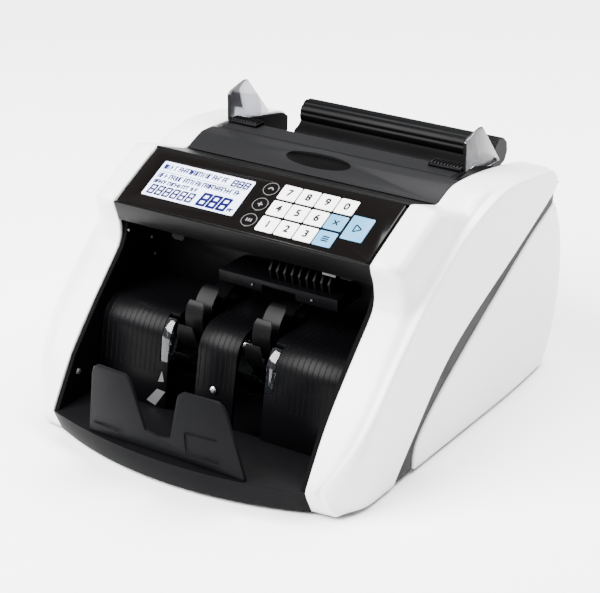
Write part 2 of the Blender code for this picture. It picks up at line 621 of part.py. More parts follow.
def build_pocket():
    """The stack pocket: the M shaped plate in front, the note rests and the outlet behind."""
    half = [(9.2, 33.0), (16.6, 61.5), (18.2, 65.6), (21.6, 68.2), (44.6, 67.2), (48.2, 64.4), (50.0, 60.0),
            (58.9, 16.1)]
    outline = [(-x, z) for x, z in half[::-1]] + [(0.0, 31.6)] + half
    rings = []
    for depth in (0.0, PLATE_DEPTH):
        rings.append([(x, bow(x, FRONT_BOW) + 1.2 - PLATE_LEAN * (z - SEAM_Z) + depth, z)
                      for x, z in outline])
    add_object("stack_plate", mesh_from("stack_plate", *tube_of_sections(rings)), GREY)
    rest_top = REST_CROWN[1] + REST_RADIUS
    crown = arc(REST_CROWN, REST_RADIUS, 178.0, 90.0, 10)
    front = [(39.5, 16.2), (42.8, 38.0), *crown, (REST_BACK, rest_top)]
    prism_x("note_rest_centre", thick_line(front, WALL), -SLOT_X[0], SLOT_X[0], BLACK)
    for side, sign in SIDES:
        x0, x1 = sorted((sign * SLOT_X[1], sign * BODY_HALF))
        rest = prism_x(f"note_rest_{side}", thick_line(front, WALL), x0, x1, BLACK)
        n0, n1 = sorted((sign * (SLOT_X[1] - 1.0), sign * (SLOT_X[1] + PRISM_WIDTH + 0.4)))
        cut(rest, box("sensor_notch", (n0, 30.0, NOTCH_Z[0]), (n1, 58.0, NOTCH_Z[1]), BLACK))
        lens = [(44.4, 46.4), *arc(REST_CROWN, REST_RADIUS, 180.0, 124.0, 7), (57.6, 70.0), (57.6, 60.0),
                (50.4, 46.4)]
        p0, p1 = sorted((sign * SLOT_X[1], sign * (SLOT_X[1] + PRISM_WIDTH)))
        prism_x(f"sensor_prism_{side}", lens, p0, p1, CLEAR)
    wall = [OUTLET_WALL, (OUTLET_WALL[0], 104.0), (112.0, 118.0), (124.0, 128.0)]
    outlet = prism_x("outlet_guide", thick_line(wall, WALL), -BODY_HALF, BODY_HALF, BLACK)
    for sign in (-1.0, 1.0):
        x0 = sign * IMPELLER_X - IMPELLER_HALF - WHEEL_CLEARANCE
        x1 = sign * IMPELLER_X + IMPELLER_HALF + WHEEL_CLEARANCE
        low = (x0, OUTLET_WALL[0] - CUT_PAST, OUTLET_WALL[1] - CUT_PAST)
        high = (x1, OUTLET_WALL[0] + WALL + CUT_PAST, IMPELLER_AXIS[1] + IMPELLER_RADIUS + WHEEL_CLEARANCE)
        cut(outlet, box("wheel_slot", low, high, BLACK))
    ledge = box("ledge", (-22.0, 80.0, 94.0), (66.0, 108.0, 101.5), BLACK)
    cut(ledge, box("gap", (10.5, 79.0, 90.0), (35.6, 88.0, 98.6), BLACK))
    join(outlet, ledge)
    for k in range(RIB_COUNT):
        x = RIB_FIRST + RIB_PITCH * k
        rib = [(108.0, 101.0), (86.0, 101.0), (84.0, 108.0), (92.0, 118.0), (108.0, 122.0), (116.0, 121.0)]
        join(outlet, prism_x("rib", rib, x, x + RIB_WIDTH, BLACK))


def finger_wheel(name, x):
    """A stacking wheel: curved fingers round a hub, turned about the impeller shaft."""
    outline = []
    for k in range(IMPELLER_FINGERS):
        start = 2.0 * math.pi * k / IMPELLER_FINGERS
        reach = np.linspace(0.0, 1.0, 7)
        outer = [(HUB_RADIUS + (IMPELLER_RADIUS - HUB_RADIUS) * t, start + FINGER_SWEEP * t ** 1.3)
                 for t in reach]
        width = [FINGER_ROOT - FINGER_TAPER * t for t in reach]
        outer_side = [(r, a + w / (2.0 * r)) for (r, a), w in zip(outer, width)]
        inner_side = [(r, a - w / (2.0 * r)) for (r, a), w in zip(outer, width)]
        outline += inner_side + outer_side[::-1]
    points = [(r * math.cos(a), r * math.sin(a)) for r, a in outline]
    wheel = prism_x(name, points, -IMPELLER_HALF, IMPELLER_HALF, BLACK, (x, *IMPELLER_AXIS))
    past = IMPELLER_HALF + CUT_PAST
    bore = [(x - past, SHAFT_RADIUS + 0.4), (x + past, SHAFT_RADIUS + 0.4)]
    cut(wheel, turned_x("bore", bore, IMPELLER_AXIS, STEEL, 20))
    return wheel


def pulley_profile(radius):
    x0, x1 = PULLEY_X
    return [(x0 - 1.2, radius + 1.6), (x0, radius + 1.6), (x0 + 0.2, radius), (x1 - 0.2, radius),
            (x1, radius + 1.6), (x1 + 1.2, radius + 1.6), (x1 + 1.2, 1.5)]


def roller_shaft(name, axis, pulley, rollers, look):
    """A shaft with its rollers and, outside the right side plate, its belt pulley."""
    thin = SHAFT_RADIUS
    profile = [(SHAFT_END, 0.6), (SHAFT_END, thin)]
    for x0, x1, radius in rollers:
        profile += [(x0, thin), (x0, radius - 0.8), (x0 + 0.8, radius)]
        profile += [(x1 - 0.8, radius), (x1, radius - 0.8), (x1, thin)]
    profile += [(PULLEY_X[0] - 1.2, thin)] + pulley_profile(pulley)
    return turned_x(name, profile, axis, look, 28)


def build_mechanism():
    roller_shaft("impeller_shaft", IMPELLER_AXIS, IMPELLER_PULLEY, (), STEEL)
    for side, sign in SIDES:
        finger_wheel(f"impeller_{side}", sign * IMPELLER_X)
    near, far = ROLLER_X
    pads = ((-far, -near, 15.0), (near, far, 15.0))
    roller_shaft("feed_roller", FEED_AXIS, FEED_PULLEY, pads, RUBBER)
    bands = ((-70.0, -56.0, 15.5), (-far, -near, 15.5), (near, far, 15.5), (56.0, 70.0, 15.5))
    roller_shaft("counting_roller", COUNTING_AXIS, COUNTING_PULLEY, bands, STEEL)
    drive = [(-12.0, 0.6), (-12.0, 2.0), (60.0, 2.0), (60.0, SHAFT_RADIUS), (PULLEY_X[0] - 1.2, SHAFT_RADIUS)]
    turned_x("motor_pulley", drive + pulley_profile(MOTOR_PULLEY), MOTOR_AXIS, STEEL, 24)
    can = [(-52.0, 16.0), (-50.0, 21.0), (10.0, 21.0), (12.0, 16.0), (12.0, 7.0), (20.0, 7.0)]
    motor = turned_x("main_motor", can, MOTOR_AXIS, STEEL, 32)
    cut(motor, turned_x("shaft_bore", [(-13.0, 2.6), (30.0, 2.6)], MOTOR_AXIS, STEEL, 16))
    join(motor, box("motor_foot", (-44.0, 188.0, 3.0), (4.0, 222.0, 30.0), STEEL))
    build_belt()


def build_belt():
    """The drive belt: the hull of the four pulleys, offset by the gap and the belt's thickness."""
    rims = ((MOTOR_AXIS, MOTOR_PULLEY), (IMPELLER_AXIS, IMPELLER_PULLEY), (COUNTING_AXIS, COUNTING_PULLEY),
            (FEED_AXIS, FEED_PULLEY))
    loops = []
    for extra in (BELT_GAP, BELT_GAP + BELT_THICK):
        loop = []
        for k in range(96):
            heading = 2.0 * math.pi * k / 96
            step = (math.cos(heading), math.sin(heading))
            support = [(c[0] * step[0] + c[1] * step[1] + r, c, r) for c, r in rims]
            _, centre, radius = max(support, key=lambda item: item[0])
            loop.append((centre[0] + (radius + extra) * step[0], centre[1] + (radius + extra) * step[1]))
        loops.append(loop)
    x0, x1 = PULLEY_X[0] + 0.6, PULLEY_X[1] - 0.6
    inner, outer = loops
    rings = []
    for y_in, y_out in zip(inner, outer):
        rings.append([(x0, *y_in), (x1, *y_in), (x1, *y_out), (x0, *y_out)])
    points, faces = tube_of_sections(rings + rings[:1], closed_ends=False)
    count = len(rings) * 4
    faces = [tuple(index % count for index in face) for face in faces]
    add_object("drive_belt", mesh_from("drive_belt", points[:count], faces), RUBBER)


def build_electrics():
    board = box("main_board", (-88.0, 120.0, 8.0), (-8.0, 180.0, 9.6), GREEN)
    for x, y, w, d, h in ((-70.0, 140.0, 14.0, 14.0, 3.0), (-44.0, 152.0, 10.0, 18.0, 2.4),
                          (-24.0, 134.0, 8.0, 20.0, 9.0), (-78.0, 168.0, 16.0, 6.0, 8.0)):
        join(board, box("chip", (x - w / 2, y - d / 2, 9.0), (x + w / 2, y + d / 2, 9.6 + h), BLACK))
    supply = box("power_supply", (24.0, 120.0, 8.0), (88.0, 176.0, 9.6), GREEN)
    for x, y, w, d, h in ((40.0, 148.0, 22.0, 26.0, 24.0), (66.0, 134.0, 10.0, 10.0, 20.0),
                          (70.0, 160.0, 26.0, 5.0, 22.0)):
        join(supply, box("component", (x - w / 2, y - d / 2, 9.0), (x + w / 2, y + d / 2, 9.6 + h), BLACK))
    flange = box("power_inlet", (-66.0, 278.8, 26.6), (-28.0, 280.6, 59.6), BLACK)
    join(flange, box("inlet_body", (-61.8, 258.0, 30.6), (-32.2, 279.4, 55.8), BLACK))
    cut(flange, box("socket", (-58.8, 262.0, 34.0), (-35.2, 290.0, 52.4), BLACK))
    for x in (-52.0, -47.0, -42.0):
        lift = 2.4 if x == -47.0 else 0.0
        join(flange, box("pin", (x - 0.8, 260.0, 41.0 + lift), (x + 0.8, 274.0, 45.0 + lift), STEEL))
    pivot = (-17.0, 273.6, 43.2)
    rocker = [(6.2, -9.0), (8.4, -8.6), (6.4, 0.0), (7.0, 8.8), (4.8, 9.0), (0.0, 5.0), (-2.0, 0.0),
              (0.0, -5.0)]
    prism_x("power_switch", rocker, -6.6, 6.6, BLACK, pivot)


clear_scene()
MACHINE = bpy.data.objects.new("machine_frame", None)
bpy.context.collection.objects.link(MACHINE)
MACHINE.location = Vector((0.0, -(FRONT_Y + BACK_Y) / 2.0, FOOT_DROP)) * MM
build_covers()
build_chassis()
build_panel()
build_keys()
build_hopper()
build_pocket()
build_mechanism()
build_electrics()
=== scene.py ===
import math

import bmesh
import bpy
import numpy as np
from mathutils import Matrix, Vector

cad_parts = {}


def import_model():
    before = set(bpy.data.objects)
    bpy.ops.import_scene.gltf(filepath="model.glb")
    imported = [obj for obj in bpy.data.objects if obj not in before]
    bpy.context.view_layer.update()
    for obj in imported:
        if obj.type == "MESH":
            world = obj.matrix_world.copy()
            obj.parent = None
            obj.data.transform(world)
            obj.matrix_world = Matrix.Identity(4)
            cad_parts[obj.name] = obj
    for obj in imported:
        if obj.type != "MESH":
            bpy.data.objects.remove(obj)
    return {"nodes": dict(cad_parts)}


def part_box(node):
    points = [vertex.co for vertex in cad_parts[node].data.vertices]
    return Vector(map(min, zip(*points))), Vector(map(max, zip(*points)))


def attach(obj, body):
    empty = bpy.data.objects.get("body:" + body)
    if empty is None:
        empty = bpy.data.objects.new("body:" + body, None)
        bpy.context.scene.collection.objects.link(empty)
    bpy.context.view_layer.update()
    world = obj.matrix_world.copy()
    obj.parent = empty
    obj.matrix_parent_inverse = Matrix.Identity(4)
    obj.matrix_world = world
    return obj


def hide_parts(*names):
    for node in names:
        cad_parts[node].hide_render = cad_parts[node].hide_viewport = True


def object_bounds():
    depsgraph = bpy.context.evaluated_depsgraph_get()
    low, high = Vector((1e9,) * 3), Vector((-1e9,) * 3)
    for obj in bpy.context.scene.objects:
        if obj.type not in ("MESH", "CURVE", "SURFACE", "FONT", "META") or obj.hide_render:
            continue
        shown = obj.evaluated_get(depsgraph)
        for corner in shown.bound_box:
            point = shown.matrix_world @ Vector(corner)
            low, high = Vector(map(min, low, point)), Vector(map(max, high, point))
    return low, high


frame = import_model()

MM = 0.001
CAD_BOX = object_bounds()

# The same driving dimensions as the structure
INNER_HALF = 95.0
BACK_Y = 282.0
SEAM_Z = 15.8
FIT = 0.3
WALL = 2.4
NOSE = (67.7, 135.1)
PANEL_SLOPE = math.radians(27.2)
PANEL_LENGTH = 52.4
FRONT_BOW = 15.0
PLATE_LEAN = 0.085
HOUSING = "housing"
SIDES = (("left", -1.0), ("right", 1.0))

# Design frame in the world: the rearmost point is BACK_Y and the base tray's underside is z = 0
SHIFT = Vector((0.0, CAD_BOX[1].y - BACK_Y * MM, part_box("base_tray")[0].z))


def world(point):
    return Vector(point) * MM + SHIFT


def panel_point(v, w):
    """The (y, z) of a point v up the control panel and w above it."""
    return (NOSE[0] + v * math.cos(PANEL_SLOPE) - w * math.sin(PANEL_SLOPE),
            NOSE[1] + v * math.sin(PANEL_SLOPE) + w * math.cos(PANEL_SLOPE))


CREST = panel_point(PANEL_LENGTH, 0.0)


# ---------------------------------------------------------------- materials

# Textures: scales are in features per metre, depths in metres
FINE_DETAIL = 3.0
GRAIN_STRENGTH = 0.5
GLOSS_SCALE = 45.0
DRIFT_SCALE = 25.0
SCRATCH_SCALE = 900.0
SCRATCH_STRETCH = (1.0, 0.03, 0.03)
SCRATCH_DEPTH = 0.00003
SCRATCH_STRENGTH = 0.4
SCRATCH_SWING = (0.1, 0.12)
HANDLING_SCALE = 90.0
HANDLING_DETAIL = 5.0
HANDLING_SWING = 0.08
GLOW_SCALE = 28.0
TRACK_SCALE = 90.0


def new_material(name, colour, roughness, **inputs):
    made = bpy.data.materials.new(name)
    made.use_nodes = True
    shader = made.node_tree.nodes["Principled BSDF"]
    shader.inputs["Base Color"].default_value = (*colour, 1.0)
    shader.inputs["Roughness"].default_value = roughness
    for key, value in inputs.items():
        shader.inputs[key.replace("_", " ")].default_value = value
    return made, made.node_tree, shader


def noise(tree, scale, detail=2.0, stretch=(1.0, 1.0, 1.0)):
    """A noise texture in object coordinates; scale is features per metre."""
    place = tree.nodes.new("ShaderNodeTexCoord")
    mapping = tree.nodes.new("ShaderNodeMapping")
    mapping.inputs["Scale"].default_value = stretch
    texture = tree.nodes.new("ShaderNodeTexNoise")
    texture.inputs["Scale"].default_value = scale
    texture.inputs["Detail"].default_value = detail
    tree.links.new(place.outputs["Object"], mapping.inputs["Vector"])
    tree.links.new(mapping.outputs["Vector"], texture.inputs["Vector"])
    return texture.outputs["Fac"]


def spread(tree, source, low, high):
    """Map a texture's middle range onto low to high."""
    node = tree.nodes.new("ShaderNodeMapRange")
    node.inputs["From Min"].default_value = 0.3
    node.inputs["From Max"].default_value = 0.7
    node.inputs["To Min"].default_value = low
    node.inputs["To Max"].default_value = high
    tree.links.new(source, node.inputs["Value"])
    return node.outputs["Result"]


def tint(tree, source, dark, light):
    node = tree.nodes.new("ShaderNodeMix")
    node.data_type = "RGBA"
    node.inputs["A"].default_value = (*dark, 1.0)
    node.inputs["B"].default_value = (*light, 1.0)
    tree.links.new(source, node.inputs["Factor"])
    return node.outputs["Result"]


def relief(tree, source, shader, depth, strength):
    bump = tree.nodes.new("ShaderNodeBump")
    bump.inputs["Distance"].default_value = depth
    bump.inputs["Strength"].default_value = strength
    tree.links.new(source, bump.inputs["Height"])
    tree.links.new(bump.outputs["Normal"], shader.inputs["Normal"])


def moulded(name, colour, roughness, grain, depth, swing=0.025, shift=0.06, **inputs):
    """Moulded plastic: a fine surface grain, uneven gloss and a slight drift of colour."""
    made, tree, shader = new_material(name, colour, roughness, **inputs)
    relief(tree, noise(tree, grain, FINE_DETAIL), shader, depth, GRAIN_STRENGTH)
    gloss = spread(tree, noise(tree, GLOSS_SCALE), roughness - swing, roughness + swing)
    tree.links.new(gloss, shader.inputs["Roughness"])
    drift = spread(tree, noise(tree, DRIFT_SCALE), 0.0, 1.0)
    dark = [c * (1.0 - shift) for c in colour]
    tree.links.new(tint(tree, drift, dark, colour), shader.inputs["Base Color"])
    return made


def metal(name, colour, roughness):
    """Turned steel: scratches that run round the axis, so they vary along X only."""
    made, tree, shader = new_material(name, colour, roughness, Metallic=1.0)
    lines = noise(tree, SCRATCH_SCALE, FINE_DETAIL, SCRATCH_STRETCH)
    relief(tree, lines, shader, SCRATCH_DEPTH, SCRATCH_STRENGTH)
    gloss = spread(tree, lines, roughness - SCRATCH_SWING[0], roughness + SCRATCH_SWING[1])
    tree.links.new(gloss, shader.inputs["Roughness"])
    return made


def clear(name, colour, roughness):
    """Clear plastic with faint handling marks."""
    made, tree, shader = new_material(name, colour, roughness, Transmission_Weight=0.92, IOR=1.49)
    marks = noise(tree, HANDLING_SCALE, HANDLING_DETAIL)
    gloss = spread(tree, marks, roughness, roughness + HANDLING_SWING)
    tree.links.new(gloss, shader.inputs["Roughness"])
    return made


def display(name):
    """The lit display: pale blue, a little bluer in patches."""
    made, tree, shader = new_material(name, (0.70, 0.78, 0.95), 0.2, Emission_Strength=0.25)
    glow = spread(tree, noise(tree, GLOW_SCALE, 1.0), 0.0, 1.0)
    colour = tint(tree, glow, (0.58, 0.68, 0.93), (0.74, 0.81, 0.97))
    tree.links.new(colour, shader.inputs["Base Color"])
    tree.links.new(colour, shader.inputs["Emission Color"])
    return made


def circuit(name):
    """A green board with lighter tracks. Its greens are kept far darker than a board's own, which paints
    the shade inside the body.
    """
    made, tree, shader = new_material(name, (0.001, 0.008, 0.0035), 0.5)
    place = tree.nodes.new("ShaderNodeTexCoord")
    tracks = tree.nodes.new("ShaderNodeTexBrick")
    tracks.inputs["Scale"].default_value = TRACK_SCALE
    tracks.inputs["Color1"].default_value = (0.0008, 0.006, 0.0028, 1.0)
    tracks.inputs["Color2"].default_value = (0.001, 0.008, 0.0035, 1.0)
    tracks.inputs["Mortar"].default_value = (0.0025, 0.016, 0.008, 1.0)
    tree.links.new(place.outputs["Object"], tracks.inputs["Vector"])
    tree.links.new(tracks.outputs["Color"], shader.inputs["Base Color"])
    return made


DULL = {"Specular_IOR_Level": 0.12}
# moulded() takes a name, a colour, a roughness, and the grain's scale and depth
WHITE = moulded("white_cover", (0.76, 0.76, 0.765), 0.34, 1400.0, 0.00002, shift=0.02, Coat_Weight=0.15)
SKIRT = moulded("dark_shell", (0.0022, 0.0022, 0.0026), 0.5, 2600.0, 0.00005, Specular_IOR_Level=0.04)
PLATE = moulded("plate", (0.0030, 0.0030, 0.0036), 0.5, 2600.0, 0.00005, Specular_IOR_Level=0.03)
TRIM = moulded("trim", (0.0024, 0.0024, 0.0027), 0.5, 2600.0, 0.00005, **DULL)
INNER = moulded("black_inner", (0.0012, 0.0012, 0.0015), 0.36, 1800.0, 0.00002, Specular_IOR_Level=0.05)
FINGER = moulded("finger", (0.0010, 0.0010, 0.0012), 0.4, 1800.0, 0.00001, Specular_IOR_Level=0.06)
# A lighter, glossier copy of the finger material for the fingers' sides: a painted highlight
FINGER_SIDE_HIGHLIGHT = moulded("finger_side_highlight", (0.018, 0.018, 0.02), 0.3, 1800.0, 0.00001, Specular_IOR_Level=0.4)
# Matt black of the side plates; also the painted shade in the finger recess
CHASSIS_AND_SHADE = moulded("chassis_and_recess_shade", (0.0009, 0.0009, 0.0010), 0.7, 1800.0, 0.00002, Specular_IOR_Level=0.03)
FASCIA = moulded("fascia", (0.0012, 0.0011, 0.0012), 0.4, 2200.0, 0.00003, Specular_IOR_Level=0.07)
DECK = moulded("deck", (0.0065, 0.0065, 0.0072), 0.42, 2400.0, 0.00003, Specular_IOR_Level=0.07)
BAR = moulded("bar", (0.0009, 0.0009, 0.0011), 0.4, 1500.0, 0.00003, Specular_IOR_Level=0.05)
OVERLAY = moulded("gloss_overlay", (0.0018, 0.0014, 0.0013), 0.14, 500.0, 0.000006, **DULL)
WHITE_KEY = moulded("white_key", (0.85, 0.85, 0.845), 0.35, 1600.0, 0.00001, shift=0.02)
BLUE_KEY = moulded("blue_key", (0.065, 0.23, 0.40), 0.38, 1600.0, 0.00001, shift=0.05)
DARK_PRINT = moulded("dark_print", (0.0012, 0.0012, 0.0015), 0.5, 1600.0, 0.00001, **DULL)
GREY_PRINT = moulded("grey_print", (0.12, 0.12, 0.125), 0.45, 1600.0, 0.00001, **DULL)
LCD_INK = moulded("lcd_ink", (0.0012, 0.0008, 0.05), 0.4, 1600.0, 0.00001, **DULL)
RUBBER = moulded("rubber", (0.01, 0.01, 0.01), 0.75, 900.0, 0.00008, **DULL)
STRIP = moulded("deck_strip", (0.0065, 0.0065, 0.0072), 0.45, 2000.0, 0.00002, Specular_IOR_Level=0.04)
STEEL = metal("steel", (0.62, 0.62, 0.64), 0.3)
SCREW_BLACK = metal("screw_black", (0.09, 0.09, 0.095), 0.4)
SMOKE = clear("smoked_clear", (0.26, 0.26, 0.29), 0.06)
PRISM = clear("clear_prism", (0.05, 0.055, 0.065), 0.06)
LCD = display("lcd_glass")
BOARD = circuit("circuit_board")
# Light grey for the window under the panel and for the painted reflections on the left rest
WINDOW_AND_GLINT_LOOK = moulded("window_and_painted_glint", (0.05, 0.05, 0.052), 0.4, 1600.0, 0.00001, shift=0.03)

NODE_LOOKS = (
    (SKIRT, ("base_tray",)),
    (PLATE, ("stack_plate",)),
    (DECK, ("hopper_deck",)),
    (FASCIA, ("panel_housing",)),
    (CHASSIS_AND_SHADE, ("side_plate_left", "side_plate_right")),
    (INNER, ("back_panel", "hopper_floor", "note_rest_left",
             "note_rest_centre", "note_rest_right", "outlet_guide", "power_inlet", "power_switch",
             "impeller_left", "impeller_right", "guide_foot_left", "guide_foot_right")),
    (OVERLAY, ("panel_overlay", "key_count", "key_add", "key_detect")),
    (WHITE_KEY, tuple(f"key_{digit}" for digit in range(10))),
    (BLUE_KEY, ("key_clear", "key_batch", "key_start")),
    (LCD, ("lcd_display",)),
    (BOARD, ("display_board", "main_board", "power_supply")),
    (SMOKE, ("guide_left", "guide_right")),
    (PRISM, ("sensor_prism_left", "sensor_prism_right")),
    (STEEL, ("impeller_shaft", "motor_pulley", "counting_roller", "main_motor")),
    (RUBBER, ("feed_roller", "drive_belt", "foot_front_left", "foot_front_right", "foot_rear_left",
              "foot_rear_right")),
)
# Width in millimetres of the rounded edges on carried-over nodes
EDGE_RADII = {
    "base_tray": 0.7, "stack_plate": 1.15, "hopper_deck": 0.6, "panel_housing": 0.7,
    "panel_overlay": 0.12, "lcd_display": 0.12, "note_rest_left": 0.4, "note_rest_centre": 0.4,
    "note_rest_right": 0.4, "outlet_guide": 0.45, "guide_left": 0.35, "guide_right": 0.35,
    "guide_foot_left": 0.3, "guide_foot_right": 0.3, "power_inlet": 0.5, "power_switch": 0.4,
    "back_panel": 0.3, "hopper_floor": 0.3, "sensor_prism_left": 0.2, "sensor_prism_right": 0.2,
}

KEY_EDGE = 0.15
WELD_REACH = 0.00001           # metres
BEVEL_SEGMENTS = 2
BEVEL_ANGLE = math.radians(40.0)
SMOOTH_ANGLE = math.radians(35.0)


def round_edges(piece, radius):
    """Join the loose faces and round the sharp edges."""
    weld = piece.modifiers.new("weld", "WELD")
    weld.merge_threshold = WELD_REACH
    bevel = piece.modifiers.new("edges", "BEVEL")
    bevel.width = radius * MM
    bevel.segments = BEVEL_SEGMENTS
    bevel.limit_method = "ANGLE"
    bevel.angle_limit = BEVEL_ANGLE
    bevel.use_clamp_overlap = True
    bevel.harden_normals = False


def smooth_by_angle():
    """A node group that shades smooth and keeps edges over SMOOTH_ANGLE sharp."""
    group = bpy.data.node_groups.new("smooth_by_angle", "GeometryNodeTree")
    group.interface.new_socket("Geometry", in_out="INPUT", socket_type="NodeSocketGeometry")
    group.interface.new_socket("Geometry", in_out="OUTPUT", socket_type="NodeSocketGeometry")
    start = group.nodes.new("NodeGroupInput")
    end = group.nodes.new("NodeGroupOutput")
    faces = group.nodes.new("GeometryNodeSetShadeSmooth")
    edges = group.nodes.new("GeometryNodeSetShadeSmooth")
    edges.domain = "EDGE"
    edges.inputs["Shade Smooth"].default_value = False
    bend = group.nodes.new("GeometryNodeInputMeshEdgeAngle")
    sharp = group.nodes.new("FunctionNodeCompare")
    sharp.operation = "GREATER_THAN"
    sharp.inputs["B"].default_value = SMOOTH_ANGLE
    group.links.new(bend.outputs["Unsigned Angle"], sharp.inputs["A"])
    group.links.new(sharp.outputs["Result"], edges.inputs["Selection"])
    group.links.new(start.outputs["Geometry"], faces.inputs["Geometry"])
    group.links.new(faces.outputs["Geometry"], edges.inputs["Geometry"])
    group.links.new(edges.outputs["Geometry"], end.inputs["Geometry"])
    return group


def dress_nodes():
    smoothing = smooth_by_angle()
    for look, names in NODE_LOOKS:
        for name in names:
            node = frame["nodes"][name]
            node.data.materials.clear()
            node.data.materials.append(look)
            radius = EDGE_RADII.get(name, KEY_EDGE if name.startswith("key_") else 0.0)
            if radius:
                round_edges(node, radius)
            node.modifiers.new("shading", "NODES").node_group = smoothing


# ---------------------------------------------------------------- mesh helpers

def add_piece(name, mesh, look, body):
    piece = bpy.data.objects.new(name, mesh)
    bpy.context.collection.objects.link(piece)
    mesh.materials.append(look)
    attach(piece, body)
    return piece


def mesh_of(name, points, faces, smooth=False):
    """A closed mesh from design points in millimetres."""
    mesh = bpy.data.meshes.new(name)
    mesh.from_pydata([world(point) for point in points], [], faces)
    bm = bmesh.new()
    bm.from_mesh(mesh)
    bmesh.ops.recalc_face_normals(bm, faces=bm.faces)
    bm.to_mesh(mesh)
    bm.free()
    if smooth:
        mesh.shade_smooth()
        mesh.set_sharp_from_angle(angle=SMOOTH_ANGLE)
    return mesh


class Parts:
    """Points and faces of several solids that share one mesh."""

    def __init__(self):
        self.points = []
        self.faces = []

    def rings(self, sections):
        """A solid through cross-sections that have the same number of points."""
        start = len(self.points)
        count = len(sections[0])
        for ring in sections:
            self.points += [tuple(point) for point in ring]
        for index in range(len(sections) - 1):
            low = start + index * count
            for k in range(count):
                n = (k + 1) % count
                self.faces.append((low + k, low + n, low + count + n, low + count + k))
        last = start + (len(sections) - 1) * count
        self.faces.append(tuple(start + k for k in range(count))[::-1])
        self.faces.append(tuple(last + k for k in range(count)))

    def prism_x(self, outline, x0, x1):
        self.rings([[(x, y, z) for y, z in outline] for x in (x0, x1)])

    def on_panel(self, outline, low, high):
        """An (x, v) outline raised off the panel from w = low to high."""
        self.rings([[(x, *panel_point(v, w)) for x, v in outline] for w in (low, high)])

    def piece(self, name, look, body, slot=None, smooth=False):
        mesh = mesh_of(name, self.points, self.faces, smooth)
        return add_piece(name, mesh, look, body)


def arc(centre, radius, start, end, steps):
    angles = [math.radians(start + (end - start) * k / steps) for k in range(steps + 1)]
    return [(centre[0] + radius * math.cos(a), centre[1] + radius * math.sin(a)) for a in angles]


def circle(centre, radius, sides=32):
    return arc(centre, radius, 0.0, 360.0, sides)[:-1]


def smooth_curve(knots, steps):
    """Points of a smooth curve through the knots, with steps points for each stretch."""
    line = np.array(knots, float)
    ends = np.vstack([2.0 * line[0] - line[1], line, 2.0 * line[-1] - line[-2]])
    if isinstance(steps, int):
        steps = [steps] * (len(line) - 1)
    points = []
    for k, count in enumerate(steps):
        before, start, stop, after = ends[k:k + 4]
        for t in np.arange(count) / count:
            bend = 2.0 * before - 5.0 * start + 4.0 * stop - after
            twist = 3.0 * start - before - 3.0 * stop + after
            points.append(start + 0.5 * t * (stop - before + t * (bend + t * twist)))
    return [tuple(point) for point in points] + [tuple(line[-1])]


def reach_of(line):
    """The points of a line as an array, and the distance along the line to each of them."""
    points = np.array(line, float)
    return points, np.concatenate(([0.0], np.cumsum(np.linalg.norm(np.diff(points, axis=0), axis=1))))


def along(line, fraction):
    points, reach = reach_of(line)
    place = fraction * reach[-1]
    return np.array([np.interp(place, reach, points[:, axis]) for axis in range(points.shape[1])])


def resample(line, count):
    points, reach = reach_of(line)
    places = np.linspace(0.0, reach[-1], count)
    return np.stack([np.interp(places, reach, points[:, a]) for a in range(points.shape[1])], axis=1)


# ---------------------------------------------------------------- white covers

FLANK = ((0.0, SEAM_Z), (21.0, 49.0), (45.5, 76.5), (71.0, 102.5))
THROAT = ((75.0, 110.0), (73.0, 122.0))
VALLEY = ((130.0, 153.5), (146.0, 148.0), (156.0, 152.5))
TOP_EDGE = ((164.5, 155.5), (200.0, 153.5), (257.0, 144.0))
INNER_LIPS = ((7.5, 0.5), (263.5, 140.5), (264.5, 134.5))
RIDGE = ((2.5, 17.5), (32.0, 58.5), (68.5, 95.5), (99.0, 118.5), (137.0, 140.0), (180.0, 152.5),
         (216.0, 150.0), (250.0, 144.5))
RIDGE_STEPS = (4, 4, 4, 3, 4, 2, 2)
RIDGE_LIPS = ((9.5, 0.5), (257.5, 141.5), (262.0, 133.5))
BAND_FRONT = ((59.5, 0.5), (76.5, 22.0), (120.0, 66.5), (200.0, 106.0), (256.5, 129.0))
BAND_REAR = ((83.5, 0.5), (80.0, 14.0), (118.0, 48.0), (210.0, 102.5), (257.5, 119.5))
BACK_LINE = ((265.5, 0.5), (276.0, 18.0), (BACK_Y, 55.0), (276.0, 94.0), (264.5, 115.5))
CORNER_RADIUS = 27.0
CORNER_DEPTH = 36.0
SHOULDER = ((0.0, 1.0), (0.45, 1.0), (0.71, 0.82), (0.82, 0.42), (0.89, 0.1), (1.0, 0.0))
RIDGE_MARGIN = 1.8
EDGE_ROUNDING = 0.6
FOOT_X = 120.0
SIDE_SWELL = 4.4
SWELL_Z = 110.0
REAR_TAPER = 3.0
TAPER_Y = (190.0, 70.0)
TRIM_SINK = 1.1
TRIM_GAP = 0.9
BACK_CORNER = 7.0
# The corner is rounded where the ridge stands at least CORNER_START degrees round it
CORNER_START = 12.0
CORNER_MARGIN = 4.0
CORNER_LEAD = 8.0
CORNER_STEPS = 9
FRONT_INSET = 0.2
SIDE_POINTS = 12
SOFTEN_RUN = 2.4
SOFTEN_WAY = (-1.0, 0.6, -0.6)
BLEND_ROWS = 8             # the shoulder grows from a flat face over this many rows
FLAT_DROP = 0.9
BAND_EASE = 1.12
REAR_ROWS = 13
REAR_COLUMNS = 9
BACK_ANGLES = (22.5, 45.0, 67.5, 90.0)
BACK_X = (109.0, 102.0)
BAND_ROWS = 15
BAND_SHARES = (0.0, 0.33, 0.67, 1.0)
BORDER_CREASE = 0.85
SUBDIVISIONS = 2
# How sharply rows and columns of the front cover's skin are creased
CREASED_ROWS = {1: 0.5, 12: 0.45, 13: 0.85, 15: 0.8, 17: 0.5}
CREASED_COLUMNS = {3: 0.35, 4: 0.5, 8: 0.45, 9: 0.3}
CREASE_START = 9           # the columns are creased from this row back
CREASE_REACH = 7           # the rows are creased up to this column
BAND_STEPS = 6
BACK_STEPS = 4


